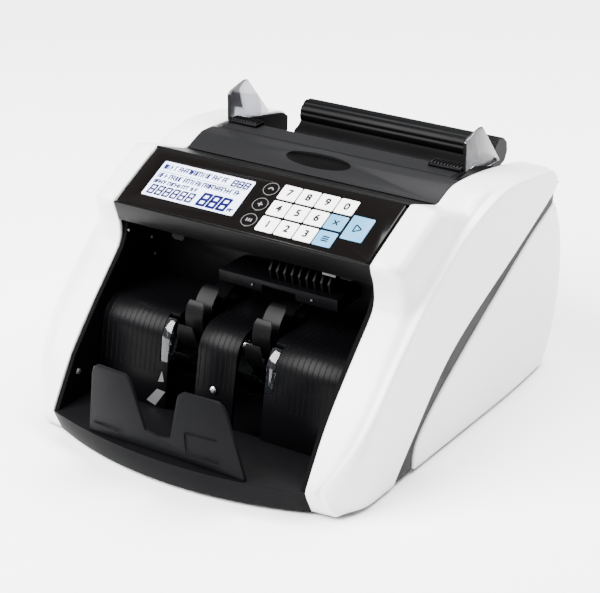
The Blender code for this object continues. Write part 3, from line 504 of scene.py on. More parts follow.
def side_x(y, z):
    """Half width of the side covers' outer face."""
    rise = 1.0 - ((SWELL_Z - min(z, SWELL_Z)) / SWELL_Z) ** 2
    taper = max(0.0, (y - TAPER_Y[0]) / TAPER_Y[1]) ** 2
    return FOOT_X + SIDE_SWELL * rise - REAR_TAPER * taper


def swelled(x, y, z):
    stretch = (side_x(y, z) - INNER_HALF) / (FOOT_X - INNER_HALF)
    return (INNER_HALF + (x - INNER_HALF) * stretch, y, z)


def inner_edge():
    middle = panel_point(PANEL_LENGTH / 2.0, 0.0)
    front = [INNER_LIPS[0], *smooth_curve(FLANK, 3), *THROAT, NOSE, middle, CREST, *VALLEY]
    return front + smooth_curve(TOP_EDGE, (2, 3)) + list(INNER_LIPS[1:])


def ridge_line():
    line = [RIDGE_LIPS[0], *smooth_curve(RIDGE, RIDGE_STEPS), *RIDGE_LIPS[1:]]
    placed = []
    for y, z in line:
        inset = min(1.0, max(0.0, (CORNER_DEPTH - y) / CORNER_DEPTH))
        x = FOOT_X - CORNER_RADIUS * (1.0 - math.sqrt(1.0 - inset * inset))
        placed.append(swelled(x, y, z))
    return placed


def corner_path(ridge, band, undercut):
    """Outer points from the ridge round the lower front corner and back to the dark band."""
    ridge_x, ridge_y, ridge_z = ridge
    centre = (FOOT_X - CORNER_RADIUS, FRONT_INSET + CORNER_RADIUS + undercut)
    start = math.degrees(math.acos((min(ridge_x, FOOT_X) - centre[0]) / CORNER_RADIUS))
    if start > CORNER_START and ridge_y < centre[1] - CORNER_MARGIN:
        bend = arc(centre, CORNER_RADIUS, -start + CORNER_LEAD, 0.0, CORNER_STEPS)
        plan = [(ridge_x, ridge_y), *bend, (FOOT_X, band[0])]
    else:
        plan = [(FOOT_X, ridge_y), (FOOT_X, band[0])]
    plan = resample(plan, SIDE_POINTS)
    heights = np.linspace(ridge_z, band[1], len(plan))
    path = [swelled(x, y, z) for (x, y), z in zip(plan, heights)]
    path[0] = ridge
    return path


def soften(path, sink):
    """Sink the ridge's own point a little and add one just past it, which rounds the ridge."""
    first, second = np.array(path[0]), np.array(path[1])
    past = first + SOFTEN_RUN * (second - first) / np.linalg.norm(second - first)
    return [tuple(first + sink * np.array(SOFTEN_WAY)), tuple(past)] + path[1:]


def front_cover_rows():
    rows = []
    edge = inner_edge()
    band_front = smooth_curve(BAND_FRONT, BAND_STEPS)
    for i, (inner, ridge) in enumerate(zip(edge, ridge_line())):
        reach = ridge[0] - RIDGE_MARGIN - INNER_HALF - FIT
        row = []
        for place, weight in smooth_curve(SHOULDER, 2):
            grown = min(1.0, i / BLEND_ROWS)
            share = weight * grown + (1.0 - FLAT_DROP * place) * (1.0 - grown)
            y = ridge[1] + share * (inner[0] - ridge[1])
            z = ridge[2] + share * (inner[1] - ridge[2])
            row.append((INNER_HALF + FIT + place * reach, y, z))
        band = along(band_front, 1.0 - (1.0 - i / (len(edge) - 1)) ** BAND_EASE)
        path = corner_path(ridge, band, INNER_LIPS[0][0] if i == 0 else 0.0)
        rows.append(row + soften(path, EDGE_ROUNDING if i > 1 else 0.0))
    return rows


def rear_cover_rows():
    rows = []
    band_rear = smooth_curve(BAND_REAR, BAND_STEPS)
    back_line = smooth_curve(BACK_LINE, BACK_STEPS)
    for t in np.linspace(0.0, 1.0, REAR_ROWS):
        front = along(band_rear, t)
        back = along(back_line, t)
        row = []
        for share in np.linspace(0.0, 1.0, REAR_COLUMNS):
            y, z = front + (back - front - np.array([BACK_CORNER, 0.0])) * share
            row.append((side_x(y, z), y, z))
        edge_x = row[-1][0]
        for angle in BACK_ANGLES:
            a = math.radians(angle)
            x = edge_x - BACK_CORNER * (1.0 - math.cos(a))
            row.append((x, back[0] - BACK_CORNER * (1.0 - math.sin(a)), back[1]))
        for x in (*BACK_X, INNER_HALF + FIT):
            row.append((x, back[0], back[1]))
        rows.append(row)
    return rows


def band_rows():
    rows = []
    band_front = smooth_curve(BAND_FRONT, BAND_STEPS)
    band_rear = smooth_curve(BAND_REAR, BAND_STEPS)
    for t in np.linspace(0.0, 1.0, BAND_ROWS):
        front = along(band_front, t) + np.array([FIT, -FIT])
        rear = along(band_rear, t) + np.array([-TRIM_GAP, TRIM_GAP])
        row = []
        for share in BAND_SHARES:
            y, z = front + (rear - front) * share
            row.append((side_x(y, z) - TRIM_SINK, y, z))
        rows.append(row)
    return rows


def shell(name, rows, look, sign, flush, creased_rows=None, crease_columns=0):
    """A closed shell with a subdivided, softly rounded skin. It stands for the CAD node."""
    grid = np.array(rows, float)
    normal = np.cross(np.gradient(grid, axis=1), np.gradient(grid, axis=0))
    normal /= np.linalg.norm(normal, axis=2)[:, :, None]
    inner = grid - normal * WALL
    if flush is not None:
        inner[:, flush, 0] = grid[:, flush, 0]
    grid[:, :, 0] *= sign
    inner[:, :, 0] *= sign
    height, width = grid.shape[:2]
    size = height * width
    points = list(grid.reshape(-1, 3)) + list(inner.reshape(-1, 3))
    faces = []
    for i in range(height - 1):
        for k in range(width - 1):
            a = i * width + k
            quad = (a, a + 1, a + width + 1, a + width)
            faces.append(quad)
            faces.append(tuple(index + size for index in quad[::-1]))
    rim = (list(range(width)), [i * width + width - 1 for i in range(height)],
           [(height - 1) * width + k for k in range(width)], [i * width for i in range(height)])
    for edge in rim:
        for a, b in zip(edge, edge[1:]):
            faces.append((a, b, b + size, a + size))
    mesh = mesh_of(name, points, faces)
    mesh.shade_smooth()
    border = {frozenset((a + offset, b + offset)) for edge in rim for a, b in zip(edge, edge[1:])
              for offset in (0, size)}
    corners = {0, width - 1, size - width, size - 1}
    crease = mesh.attributes.new("crease_edge", "FLOAT", "EDGE")
    for index, edge in enumerate(mesh.edges):
        a, b = edge.vertices
        if frozenset((a, b)) in border:
            crease.data[index].value = BORDER_CREASE
        elif abs(a - b) == size:
            crease.data[index].value = BORDER_CREASE if min(a, b) in corners else 0.0
        elif abs(a - b) == 1 and max(a, b) % width < crease_columns:
            row = (a % size) // width
            crease.data[index].value = (creased_rows or {}).get(row, 0.0)
        elif creased_rows and abs(a - b) == width and (min(a, b) % size) // width >= CREASE_START:
            crease.data[index].value = CREASED_COLUMNS.get(a % size % width, 0.0)
    piece = add_piece(name, mesh, look, HOUSING)
    surface = piece.modifiers.new("surface", "SUBSURF")
    surface.levels = SUBDIVISIONS
    surface.render_levels = SUBDIVISIONS
    return piece


def build_covers():
    for side, sign in SIDES:
        piece = shell(f"front_shell_{side}", front_cover_rows(), WHITE, sign, 0,
                      CREASED_ROWS, CREASE_REACH)
        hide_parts(f"front_cover_{side}")
        piece = shell(f"rear_shell_{side}", rear_cover_rows(), WHITE, sign, -1)
        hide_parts(f"rear_cover_{side}")
        piece = shell(f"trim_shell_{side}", band_rows(), TRIM, sign, None)
        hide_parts(f"side_trim_{side}")


# ---------------------------------------------------------------- control panel

# Where each of a digit's seven bars starts and ends, as (column, row)
SEGMENT_ENDS = (((0, 2), (1, 2)), ((1, 1), (1, 2)), ((1, 0), (1, 1)), ((0, 0), (1, 0)),
                ((0, 0), (0, 1)), ((0, 1), (0, 2)), ((0, 1), (1, 1)))
GLASS_W = -0.15            # height of the display's face over the panel
INK = 0.05                 # thickness of a printed mark
DIGIT_LEAN = 0.12
STROKE_OVERRUN = 0.3       # of the stroke's width
DISPLAY_V = 11.6
DISPLAY_TALL = 30.1
GLYPH_WIDTHS = (0.9, 1.5)
GLYPH_STROKE = 0.95
GLYPH_GAP = 0.75
GLYPH_ROOM = 1.2
WORD_GAP = 1.3
WORD_END = 0.22            # chance that a mark ends a word


def stroke_frame(start, end, width):
    """Both ends of a stroke, the direction along it and half its width as a vector across it."""
    a, b = np.array(start, float), np.array(end, float)
    run = (b - a) / np.linalg.norm(b - a)
    return a, b, run, np.array([-run[1], run[0]]) * width / 2.0


def bar_outline(start, end, width):
    """A bar with pointed ends."""
    a, b, run, across = stroke_frame(start, end, width)
    tip = run * width / 2.0
    corners = (a, a + tip - across, b - tip - across, b, b - tip + across, a + tip + across)
    return [tuple(corner) for corner in corners]


def stroke_outline(start, end, width):
    """A plain stroke that runs a little past both its ends, so that strokes join."""
    a, b, run, across = stroke_frame(start, end, width)
    past = run * STROKE_OVERRUN * width
    corners = (a - past - across, b + past - across, b + past + across, a - past + across)
    return [tuple(corner) for corner in corners]


def digit_bars(x, v, width, height, stroke):
    """Outlines of all seven bars of a digit whose lower left corner is at (x, v)."""
    bars = []
    for bar in SEGMENT_ENDS:
        ends = []
        for column, row in bar:
            up = row * height / 2.0
            ends.append((x + column * width + DIGIT_LEAN * up, v + up))
        bars.append(stroke_outline(*ends, stroke))
    return bars


def glyph_row(parts, x0, x1, v, height, seed):
    """Small plain marks: upright, flat and cornered bars that spell nothing."""
    choose = np.random.default_rng(seed)
    x = x0
    while x < x1 - GLYPH_ROOM:
        width = float(choose.uniform(*GLYPH_WIDTHS))
        kind = int(choose.integers(0, 4))
        strokes = [((x, v), (x, v + height))]
        if kind in (1, 3):
            strokes.append(((x, v + height), (x + width, v + height)))
        if kind in (2, 3):
            strokes.append(((x, v + height * 0.5), (x + width, v + height * 0.5)))
        if kind == 0:
            strokes.append(((x + width, v), (x + width, v + height)))
        for start, end in strokes:
            parts.on_panel(stroke_outline(start, end, GLYPH_STROKE), GLASS_W, GLASS_W + INK)
        x += width + GLYPH_GAP
        if choose.uniform() < WORD_END:
            x += WORD_GAP


def build_display():
    """Three groups of digits with every bar lit, rows of small marks and a ruled line."""
    low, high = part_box("lcd_display")
    left, right = low.x / MM, high.x / MM
    top = DISPLAY_V + DISPLAY_TALL
    # How many digits, the place of the first one, their pitch, width, height and stroke
    groups = (
        (6, (left + 3.2, DISPLAY_V + 2.4), 5.9, 3.7, 6.8, 1.4),
        (3, (left + 42.0, DISPLAY_V + 2.4), 7.6, 5.0, 9.4, 2.1),
        (3, (right - 15.0, top - 7.2), 4.6, 3.0, 4.6, 1.2),
    )
    parts = Parts()
    for count, (x, v), pitch, width, height, stroke in groups:
        for k in range(count):
            for bar in digit_bars(x + pitch * k, v, width, height, stroke):
                parts.on_panel(bar, GLASS_W, GLASS_W + INK)
    glyph_row(parts, left + 2.6, right - 18.0, top - 6.2, 3.6, 3)
    glyph_row(parts, left + 2.6, right - 3.0, top - 13.8, 3.4, 5)
    glyph_row(parts, left + 2.6, left + 36.0, DISPLAY_V + 11.4, 2.6, 8)
    glyph_row(parts, right - 5.6, right - 1.0, DISPLAY_V + 2.6, 2.2, 9)
    rule = [(left + 2.2, top - 8.9), (right - 2.6, top - 8.9), (right - 2.6, top - 8.5),
            (left + 2.2, top - 8.5)]
    parts.on_panel(rule, GLASS_W, GLASS_W + INK)
    parts.piece("lcd_marks", LCD_INK, HOUSING, "lcd_glass")


def key_face(name):
    """The x and the distance up the panel of a key's middle."""
    low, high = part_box(name)
    middle = ((low + high) / 2.0 - SHIFT) / MM
    dy, dz = middle.y - NOSE[0], middle.z - NOSE[1]
    return middle.x, dy * math.cos(PANEL_SLOPE) + dz * math.sin(PANEL_SLOPE)


KEY_FACE = 0.25            # height of the keys' faces over the panel
NUMERAL_SIZE = 7.4
NUMERAL_SPREAD = 0.26      # each digit is printed four times, this far off centre
NUMERAL_LAYER = 0.004      # each print lies this much over the one before
SIGN_LAYER = 0.01
SIGN_STROKE = 0.95
RING_RADII = (5.2, 4.92)
ROUND_KEYS = ("count", "add", "detect")


def build_numerals():
    """Printed digits. Blender's own font is turned into a mesh on each key."""
    tilt = Matrix.Rotation(PANEL_SLOPE, 4, "X")
    for digit in range(10):
        x, v = key_face(f"key_{digit}")
        text = bpy.data.curves.new(f"numeral_{digit}", "FONT")
        text.body = str(digit)
        text.size = NUMERAL_SIZE * MM
        text.extrude = INK * MM / 2.0
        text.align_x = "CENTER"
        text.align_y = "CENTER"
        carrier = bpy.data.objects.new("carrier", text)
        bpy.context.collection.objects.link(carrier)
        bpy.context.view_layer.update()
        graph = bpy.context.evaluated_depsgraph_get()
        mesh = bpy.data.meshes.new_from_object(carrier.evaluated_get(graph))
        bpy.data.objects.remove(carrier, do_unlink=True)
        print_mesh = bmesh.new()
        for layer, (right, up) in enumerate(((-1, -1), (1, -1), (1, 1), (-1, 1))):
            height = KEY_FACE + INK / 2.0 + NUMERAL_LAYER * layer
            place = world((x + right * NUMERAL_SPREAD, *panel_point(v + up * NUMERAL_SPREAD, height)))
            copy = mesh.copy()
            copy.transform(Matrix.Translation(place) @ tilt)
            print_mesh.from_mesh(copy)
        print_mesh.to_mesh(mesh)
        print_mesh.free()
        mesh.materials.clear()
        add_piece(f"numeral_{digit}", mesh, DARK_PRINT, f"button_{digit}")


def ring_outline(parts, centre, outer, inner, low, high, sides=40):
    """A flat ring on the panel, as one closed loop of quads."""
    start = len(parts.points)
    for k in range(sides):
        a = 2.0 * math.pi * k / sides
        for radius, w in ((outer, low), (outer, high), (inner, high), (inner, low)):
            x = centre[0] + radius * math.cos(a)
            v = centre[1] + radius * math.sin(a)
            parts.points.append((x, *panel_point(v, w)))
    for k in range(sides):
        this, following = start + 4 * k, start + 4 * ((k + 1) % sides)
        for j in range(4):
            n = (j + 1) % 4
            parts.faces.append((this + j, this + n, following + n, following + j))


def build_key_marks():
    """Plain signs instead of words: rings and small symbols."""
    low, high = KEY_FACE, KEY_FACE + INK
    signs = {
        "count": [((-1.6, -1.4), (-1.6, 1.4)), ((0.0, -1.4), (0.0, 1.4)), ((1.6, -1.4), (1.6, 1.4))],
        "add": [((-2.0, 0.0), (2.0, 0.0)), ((0.0, -2.0), (0.0, 2.0))],
        "detect": [((-2.0, -0.6), (0.0, 1.4)), ((0.0, 1.4), (2.0, -0.6))],
        "clear": [((-1.9, -1.9), (1.9, 1.9)), ((-1.9, 1.9), (1.9, -1.9))],
        "batch": [((-2.6, -1.6), (2.6, -1.6)), ((-2.6, 0.0), (2.6, 0.0)), ((-2.6, 1.6), (2.6, 1.6))],
        "start": [((-2.2, -3.0), (-2.2, 3.0)), ((-2.2, 3.0), (2.8, 0.0)), ((2.8, 0.0), (-2.2, -3.0))],
    }
    for name, strokes in signs.items():
        x, v = key_face(f"key_{name}")
        round_key = name in ROUND_KEYS
        parts = Parts()
        if round_key:
            ring_outline(parts, (x, v), *RING_RADII, low, high)
        for layer, (start, end) in enumerate(strokes):
            lift = SIGN_LAYER * layer
            a = (x + start[0], v + start[1])
            b = (x + end[0], v + end[1])
            parts.on_panel(bar_outline(a, b, SIGN_STROKE), low + lift, high + lift)
        look = GREY_PRINT if round_key else DARK_PRINT
        parts.piece(f"sign_{name}", look, f"button_{name}", "gloss_overlay")


# ---------------------------------------------------------------- stack pocket

REST_PROFILE = [(39.5, 16.2), (42.8, 38.0), *arc((65.5, 57.0), 19.0, 178.0, 90.0, 10), (104.0, 76.0)]
SLOT_X = (14.5, 36.5)
BODY_HALF = 91.5
RIB_PITCH = 3.9
RIB_WIDTH = 0.8
RIB_HEIGHT = 0.16
RIB_LIFT = 0.05            # the ribs start this far off the rest's surface
RIB_TAPER = 0.3            # the rib's top starts this share of its width in from each side
RIB_MARGIN = 1.5
PRISM_ROOM = 8.5


def offset_line(line, distance):
    """A copy of an open (y, z) line on its left side."""
    points = np.array(line, float)
    steps = np.gradient(points, axis=0)
    steps /= np.linalg.norm(steps, axis=1)[:, None]
    return points + np.stack([-steps[:, 1], steps[:, 0]], axis=1) * distance


def build_rest_ribs():
    """Fine raised ribs along the note rests, narrower at their tops."""
    line = REST_PROFILE[1:]
    low = offset_line(line, RIB_LIFT)
    high = offset_line(line, RIB_HEIGHT)
    outer = (SLOT_X[1] + PRISM_ROOM, BODY_HALF - RIB_MARGIN)
    middle = SLOT_X[0] - RIB_MARGIN
    spans = {"left": (-outer[1], -outer[0]), "centre": (-middle, middle), "right": outer}
    for name, (x0, x1) in spans.items():
        parts = Parts()
        for x in np.arange(x0, x1 - RIB_WIDTH, RIB_PITCH):
            sections = []
            for (yl, zl), (yh, zh) in zip(low, high):
                inset = RIB_TAPER * RIB_WIDTH
                sections.append([(x, yl, zl), (x + RIB_WIDTH, yl, zl),
                                 (x + RIB_WIDTH - inset, yh, zh), (x + inset, yh, zh)])
            parts.rings(sections)
        parts.piece(f"rest_ribs_{name}", INNER, HOUSING, "black_inner", smooth=True)


IMPELLER_AXIS = (78.0, 56.0)
IMPELLER_X = 25.5
IMPELLER_HALF = 6.5
IMPELLER_RADIUS = 34.0
HUB_RADIUS = 8.0
FINGERS = 12
FINGER_SWEEP = -1.05
FINGER_ROOT = 1.5
FINGER_TIP = 0.7
FINGER_STEPS = 18
FINGER_START = -0.08       # the finger starts inside the hub
SWEEP_EASE = 1.3
TIP_FROM = 0.93            # the finger narrows from here to its tip
TIP_CUT = 1.2
# The hub, as (x from the wheel's middle, radius)
HUB_PROFILE = ((-6.5, 6.6), (-6.1, 7.4), (6.1, 7.4), (6.5, 6.6))
HIGHLIGHT_FACING = 0.9          # faces that look sideways at least this squarely get the painted highlight


def finger_sections(index):
    """Cross-sections of one curved finger, from inside the hub to its narrowed tip."""
    start = 2.0 * math.pi * index / FINGERS
    sections = []
    for t in np.linspace(FINGER_START, 1.0, FINGER_STEPS):
        radius = HUB_RADIUS + (IMPELLER_RADIUS - HUB_RADIUS) * t
        turn = start + FINGER_SWEEP * max(t, 0.0) ** SWEEP_EASE
        thick = FINGER_ROOT + (FINGER_TIP - FINGER_ROOT) * t
        half = IMPELLER_HALF - TIP_CUT * max(0.0, t - TIP_FROM) / (1.0 - TIP_FROM)
        ring = []
        for x, lean in ((-half, -1.0), (half, -1.0), (half, 1.0), (-half, 1.0)):
            angle = turn + lean * thick / (2.0 * radius)
            ring.append((x, IMPELLER_AXIS[0] + radius * math.cos(angle),
                         IMPELLER_AXIS[1] + radius * math.sin(angle)))
        sections.append(ring)
    return sections


def build_wheels():
    """Each stacking wheel is a ring of broad, thin, curved fingers on one hub."""
    for side, sign in SIDES:
        parts = Parts()
        middle = sign * IMPELLER_X
        for index in range(FINGERS):
            parts.rings([[(x + middle, y, z) for x, y, z in ring] for ring in finger_sections(index)])
        sections = []
        for x, radius in HUB_PROFILE:
            sections.append([(middle + x, y, z) for y, z in circle(IMPELLER_AXIS, radius)])
        parts.rings(sections)
        piece = parts.piece(f"finger_wheel_{side}", FINGER, "stacking_wheels", "black_inner", smooth=True)
        piece.data.materials.append(FINGER_SIDE_HIGHLIGHT)
        # Faces that look along the axis take the lighter copy: a painted highlight on the fingers' sides
        # and the hub's ends
        for face in piece.data.polygons:
            if abs(face.normal.x) > HIGHLIGHT_FACING:
                face.material_index = 1
        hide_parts(f"impeller_{side}")


PLATE_OFFSET = 1.2
MARK_WIDTH = 0.55
FAINT_WIDTH = 0.3
MARK_SINK = 0.3
MARK_PROUD = 0.25
MARK_STEPS = 6
MARK_LOW = 24.0
MARK_HIGH = 40.0
LEFT_MARK_X = (-53.5, -31.0)
RIGHT_MARK_X = (20.0, 42.0)


def bow(x):
    """The y of the bowed front at x. It is 0 at the sides and negative between them."""
    radius = (INNER_HALF ** 2 + FRONT_BOW ** 2) / (2.0 * FRONT_BOW)
    return -(math.sqrt(radius * radius - x * x) - (radius - FRONT_BOW))


def plate_face(x, z, proud):
    """A point on the stack plate's front face."""
    return (x, bow(x) + PLATE_OFFSET - PLATE_LEAN * (z - SEAM_Z) - proud, z)


def build_plate_marks():
    """Shallow raised lines on the stack plate: one flat on the left, three on the right."""
    parts = Parts()

    def line(x0, z0, x1, z1, width=MARK_WIDTH):
        upright = abs(z1 - z0) > abs(x1 - x0)
        sections = []
        for k in range(MARK_STEPS + 1):
            x = x0 + (x1 - x0) * k / MARK_STEPS
            z = z0 + (z1 - z0) * k / MARK_STEPS
            dx, dz = (width / 2.0, 0.0) if upright else (0.0, width / 2.0)
            near, far = (x - dx, z - dz), (x + dx, z + dz)
            sections.append([plate_face(*near, -MARK_SINK), plate_face(*far, -MARK_SINK),
                             plate_face(*far, MARK_PROUD), plate_face(*near, MARK_PROUD)])
        parts.rings(sections)

    left, right = RIGHT_MARK_X
    line(LEFT_MARK_X[0], MARK_LOW, LEFT_MARK_X[1], MARK_LOW)
    line(left, MARK_LOW, right, MARK_LOW)
    line(left, MARK_LOW, left, MARK_HIGH)
    line(left, MARK_HIGH, right, MARK_HIGH, FAINT_WIDTH)
    parts.piece("plate_marks", SKIRT, HOUSING, "dark_shell")


# A screw head's rings, as (height, share of the radius); the narrow ones are notched
HEAD_PROFILE = ((0.0, 1.0), (0.6, 1.0), (1.1, 0.75), (1.25, 0.35))
HEAD_SIDES = 24
NOTCHED_BELOW = 0.8
NOTCH = 0.55
SCREW_RADIUS = 2.0
REST_SCREW_RADIUS = 2.2
WALL_SCREW = (91.9, 22.3, 34.9)
REST_SCREW = (0.0, 42.0, 39.0)
BACK_SCREW_X = 86.0
BACK_SCREWS = ((277.0, 36.0), (273.0, 98.0))
SCREW_TILT = 0.1


def screw(parts, centre, normal, radius=SCREW_RADIUS):
    """A domed head with four notches, turned towards its normal."""
    axis = Vector(normal).normalized()
    side = axis.orthogonal().normalized()
    other = axis.cross(side)
    rings = []
    for height, share in HEAD_PROFILE:
        ring = []
        for k in range(HEAD_SIDES):
            a = 2.0 * math.pi * k / HEAD_SIDES
            notch = NOTCH if share < NOTCHED_BELOW and k % (HEAD_SIDES // 4) == 0 else 1.0
            spot = side * math.cos(a) + other * math.sin(a)
            ring.append(tuple(Vector(centre) + axis * height + spot * radius * share * notch))
        rings.append(ring)
    parts.rings(rings)


def build_screws():
    parts = Parts()
    for _, sign in SIDES:
        screw(parts, (sign * WALL_SCREW[0], *WALL_SCREW[1:]), (-sign, 0.0, 0.0))
    screw(parts, REST_SCREW, (0.0, -1.0, SCREW_TILT), REST_SCREW_RADIUS)
    parts.piece("pocket_screws", STEEL, HOUSING, "steel", smooth=True)
    parts = Parts()
    for _, sign in SIDES:
        for y, z in BACK_SCREWS:
            screw(parts, (sign * BACK_SCREW_X, y, z), (0.0, 1.0, SCREW_TILT))
    parts.piece("back_screws", STEEL, HOUSING, "steel", smooth=True)


def rest_front(z):
    """How far back the upright front of a note rest stands at height z."""
    (y0, z0), (y1, z1) = REST_PROFILE[:2]
    return y0 + (y1 - y0) * (z - z0) / (z1 - z0)


OUTLET_SCREWS = ((4.0, 79.9, 97.4), (48.0, 79.9, 97.4))
OUTLET_SCREW_RADIUS = 0.9
SIDE_SCREWS = ((-91.7, 78.0, 113.0), (-91.7, 101.0, 100.5), (-91.7, 104.0, 88.0))
SIDE_SCREW_RADIUS = 1.0
LUGS = ((-50.0, 75.5, 4.6), (72.0, 80.0, 5.4))          # x, y and half width
LUG_TOP = 120.6
LUG_SHOULDER = 118.0
LUG_BOTTOM = 116.4
LUG_CHAMFER = 1.6
LUG_DEPTH = 6.0
PANEL_WINDOW = ((53.0, 114.6), (62.5, 114.6), (62.5, 116.0), (53.0, 116.0))
PANEL_WINDOW_Y = (83.0, 84.0)
# Light patches on the left rest's front: painted reflections of the clear prism's faces
REST_GLINTS = (
    ((-51.0, 19.0), (-44.0, 17.0), (-37.0, 27.5), (-43.5, 28.0)),
    ((-43.0, 33.0), (-38.5, 34.0), (-40.5, 40.5)),
)
GLINT_PROUD = (0.1, 0.4)


def build_pocket_details():
    """Screws, lugs, a sensor window and light patches round the stack pocket; the patches on the left rest
    paint the reflections on the clear prism's faces.
    """
    parts = Parts()
    for place in OUTLET_SCREWS:
        screw(parts, place, (0.0, -1.0, 0.0), OUTLET_SCREW_RADIUS)
    for place in SIDE_SCREWS:
        screw(parts, place, (1.0, 0.0, 0.0), SIDE_SCREW_RADIUS)
    parts.piece("small_screws", SCREW_BLACK, HOUSING, "steel", smooth=True)
    parts = Parts()
    for x, y, half in LUGS:
        foot = half - LUG_CHAMFER
        outline = [(x - half, LUG_TOP), (x + half, LUG_TOP), (x + half, LUG_SHOULDER),
                   (x + foot, LUG_BOTTOM), (x - foot, LUG_BOTTOM), (x - half, LUG_SHOULDER)]
        parts.rings([[(px, py, pz) for px, pz in outline] for py in (y, y + LUG_DEPTH)])
    parts.piece("panel_lugs", PLATE, HOUSING, "dark_shell")
    parts = Parts()
    parts.rings([[(x, y, z) for x, z in PANEL_WINDOW] for y in PANEL_WINDOW_Y])
    for outline in REST_GLINTS:
        parts.rings([[(x, rest_front(z) - proud, z) for x, z in outline] for proud in GLINT_PROUD])
    parts.piece("window_and_painted_glints", WINDOW_AND_GLINT_LOOK, HOUSING, "clear_prism")


# ---------------------------------------------------------------- hopper

BAR_CENTRE = (263.5, 144.0)
BAR_RADIUS = 9.8
BAR_HALF = 77.0
GROOVE_DEPTH = 0.55
GROOVES = 7
CROWN_STEPS = 84
CROWN_START = 205.0        # degrees
CROWN_SWEEP = 275.0
# The curved plate under the bar, front side and underside
BAR_LOWER = [(240.0, 125.0), (244.0, 131.5), (247.0, 135.2), (251.0, 136.4)]
BAR_UNDER = [(262.0, 133.0), (255.0, 130.0), (249.0, 124.4), (246.0, 121.4), (240.0, 121.4)]
BAR_ENDS = ((0.0, 0.955), (0.35, 0.985), (1.1, 1.0))    # inset from the end, and the outline's scale


def build_bar():
    """The rear bar with lengthwise grooves, rounded ends and the curved plate under it."""
    crown = []
    for k in range(CROWN_STEPS + 1):
        share = k / CROWN_STEPS
        a = math.radians(CROWN_START - CROWN_SWEEP * share)
        wave = 0.5 - 0.5 * math.cos(2.0 * math.pi * GROOVES * share)
        radius = BAR_RADIUS - GROOVE_DEPTH * (1.0 - wave) ** 3
        crown.append((BAR_CENTRE[0] + radius * math.cos(a), BAR_CENTRE[1] + radius * math.sin(a)))
    outline = np.array(BAR_LOWER + crown + BAR_UNDER)
    middle = outline.mean(axis=0)
    sections = [(-BAR_HALF + inset, shrink) for inset, shrink in BAR_ENDS]
    sections += [(-x, shrink) for x, shrink in sections[::-1]]
    parts = Parts()
    parts.rings([[(x, *(middle + (point - middle) * shrink)) for point in outline]
                 for x, shrink in sections])
    piece = parts.piece("grooved_bar", BAR, HOUSING, "black_inner", smooth=True)
    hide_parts("rear_handle")


STRIP_HALF = 88.0
STRIP_OUTLINE = ((176.0, 155.5), (176.4, 155.8), (193.2, 155.75), (193.6, 155.45))


def build_deck_strip():
    """The flat strip behind the recess, with chamfered long edges."""
    parts = Parts()
    parts.prism_x(STRIP_OUTLINE, -STRIP_HALF, STRIP_HALF)
    parts.piece("deck_strip", STRIP, HOUSING, "dark_shell")


RECESS_CENTRE = (158.8, 154.8)
RECESS_HALF = 24.8
RECESS_RADIUS = 6.3
RECESS_STRETCH = 1.15
DECK_SLOPE = ((146.6, 148.3), (162.6, 155.2))
# The dark sheet below paints the recess's shade
SHADE_STEPS = 27
SHADE_END = 0.5
SHADE_GAP = 0.05
SHADE_BACK = 0.3
SHADE_ARC = 14


def deck_height(y):
    """Height of the deck's sloping top at y."""
    (y0, z0), (y1, z1) = DECK_SLOPE
    return z0 + (z1 - z0) * min(1.0, (y - y0) / (y1 - y0))


def build_recess():
    """A matt dark sheet in the finger recess, kept under the deck's surface: painted shade in the recess.
    """
    sections = []
    for x in np.linspace(SHADE_END - RECESS_HALF, RECESS_HALF - SHADE_END, SHADE_STEPS):
        reach = RECESS_RADIUS * math.sqrt(1.0 - (x / RECESS_HALF) ** 2)
        ring = []
        for radius, start, end in ((reach - SHADE_GAP, 180.0, 360.0), (reach - SHADE_BACK, 360.0, 180.0)):
            for y, z in arc((0.0, 0.0), radius, start, end, SHADE_ARC):
                place = RECESS_CENTRE[0] + y * RECESS_STRETCH
                ring.append((x, place, min(RECESS_CENTRE[1] + z, deck_height(place) - SHADE_GAP)))
        sections.append(ring)
    parts = Parts()
    parts.rings(sections)
    parts.piece("recess_painted_shade", CHASSIS_AND_SHADE, HOUSING, "dark_shell", smooth=True)


THUMB_RIBS = 9
THUMB_RIB_X = 68.0
THUMB_RIB_PITCH = 2.3
THUMB_RIB_HALF = 0.45
THUMB_RIB = ((186.2, 158.1), (187.0, 159.1), (193.6, 159.1), (194.4, 158.1))
GUIDE_EDGE = ((187.9, 156.2), (187.9, 174.6), (189.0, 174.6), (189.0, 156.2))
GUIDE_EDGE_X = (89.5, 91.5)


def build_thumb_ribs():
    """Grip ribs across each guide's foot, and the dark edge of each guide."""
    for side, sign in SIDES:
        parts = Parts()
        for k in range(THUMB_RIBS):
            x = sign * (THUMB_RIB_X + THUMB_RIB_PITCH * k)
            parts.prism_x(THUMB_RIB, x - THUMB_RIB_HALF, x + THUMB_RIB_HALF)
        parts.piece(f"thumb_ribs_{side}", INNER, f"{side}_guide", "black_inner")
        parts = Parts()
        parts.prism_x(GUIDE_EDGE, *sorted(sign * x for x in GUIDE_EDGE_X))
        parts.piece(f"guide_edge_{side}", DARK_PRINT, f"{side}_guide", "black_inner")


# ---------------------------------------------------------------- stage

# The camera's place in metres, and its axes
CAMERA_PLACE = (0.6134, -0.91565, 0.5603)
CAMERA_RIGHT = (0.8326, 0.5539, 0.0)
CAMERA_UP = (-0.2247, 0.3377, 0.9140)
CAMERA_BACK = (0.5063, -0.7610, 0.4056)
LENS = 111.7               # millimetres, on the sensor width below
SENSOR_WIDTH = 36.0
CLIP = (0.05, 20.0)        # metres
WORLD_STRENGTH = 0.55
LIGHT_TARGET = (0.0, 0.0, 0.08)
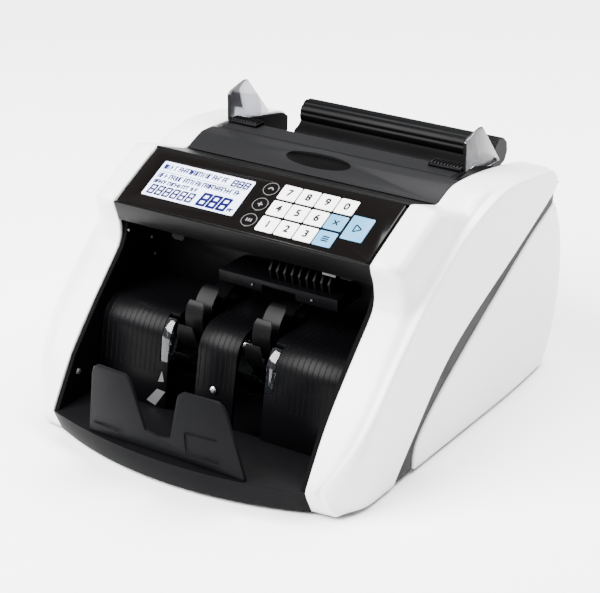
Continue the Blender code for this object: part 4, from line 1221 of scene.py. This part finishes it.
# Each light's place, size in metres and power in watts
LIGHTS = {
    "key": ((-0.9, -1.3, 1.5), 1.5, 250.0),
    "top": ((0.4, 0.75, 2.0), 1.7, 190.0),
    "rim": ((0.9, 1.4, 0.9), 0.8, 4.0),
}
FLOOR_HALF = 6.0           # metres


def build_camera():
    data = bpy.data.cameras.new("camera")
    data.lens = LENS
    data.sensor_width = SENSOR_WIDTH
    data.clip_start, data.clip_end = CLIP
    camera = bpy.data.objects.new("camera", data)
    bpy.context.collection.objects.link(camera)
    axes = Matrix((CAMERA_RIGHT, CAMERA_UP, CAMERA_BACK)).transposed()
    camera.matrix_world = Matrix.Translation(CAMERA_PLACE) @ axes.to_4x4()
    bpy.context.scene.camera = camera


def area_light(name, place, size, power):
    data = bpy.data.lights.new(name, "AREA")
    data.size = size
    data.energy = power
    light = bpy.data.objects.new(name, data)
    bpy.context.collection.objects.link(light)
    light.location = place
    light.rotation_euler = (Vector(LIGHT_TARGET) - Vector(place)).to_track_quat("-Z", "Y").to_euler()


def build_stage():
    """A plain pale floor, an even white surround and three soft lights."""
    world_shader = bpy.data.worlds.new("studio")
    world_shader.use_nodes = True
    background = world_shader.node_tree.nodes["Background"]
    background.inputs["Color"].default_value = (1.0, 1.0, 1.0, 1.0)
    background.inputs["Strength"].default_value = WORLD_STRENGTH
    bpy.context.scene.world = world_shader
    for name, (place, size, power) in LIGHTS.items():
        area_light(name, place, size, power)
    corners = [(x * FLOOR_HALF, y * FLOOR_HALF, 0.0) for x, y in ((-1, -1), (1, -1), (1, 1), (-1, 1))]
    mesh = bpy.data.meshes.new("floor")
    mesh.from_pydata(corners, [], [(0, 1, 2, 3)])
    floor = bpy.data.objects.new("floor", mesh)
    bpy.context.collection.objects.link(floor)
    look = new_material("floor", (0.93, 0.93, 0.93), 0.9)[0]
    mesh.materials.append(look)


build_camera()
build_stage()
dress_nodes()
build_covers()
build_display()
build_numerals()
build_key_marks()
build_rest_ribs()
build_wheels()
build_plate_marks()
build_screws()
build_pocket_details()
build_bar()
build_deck_strip()
build_recess()
build_thumb_ribs()
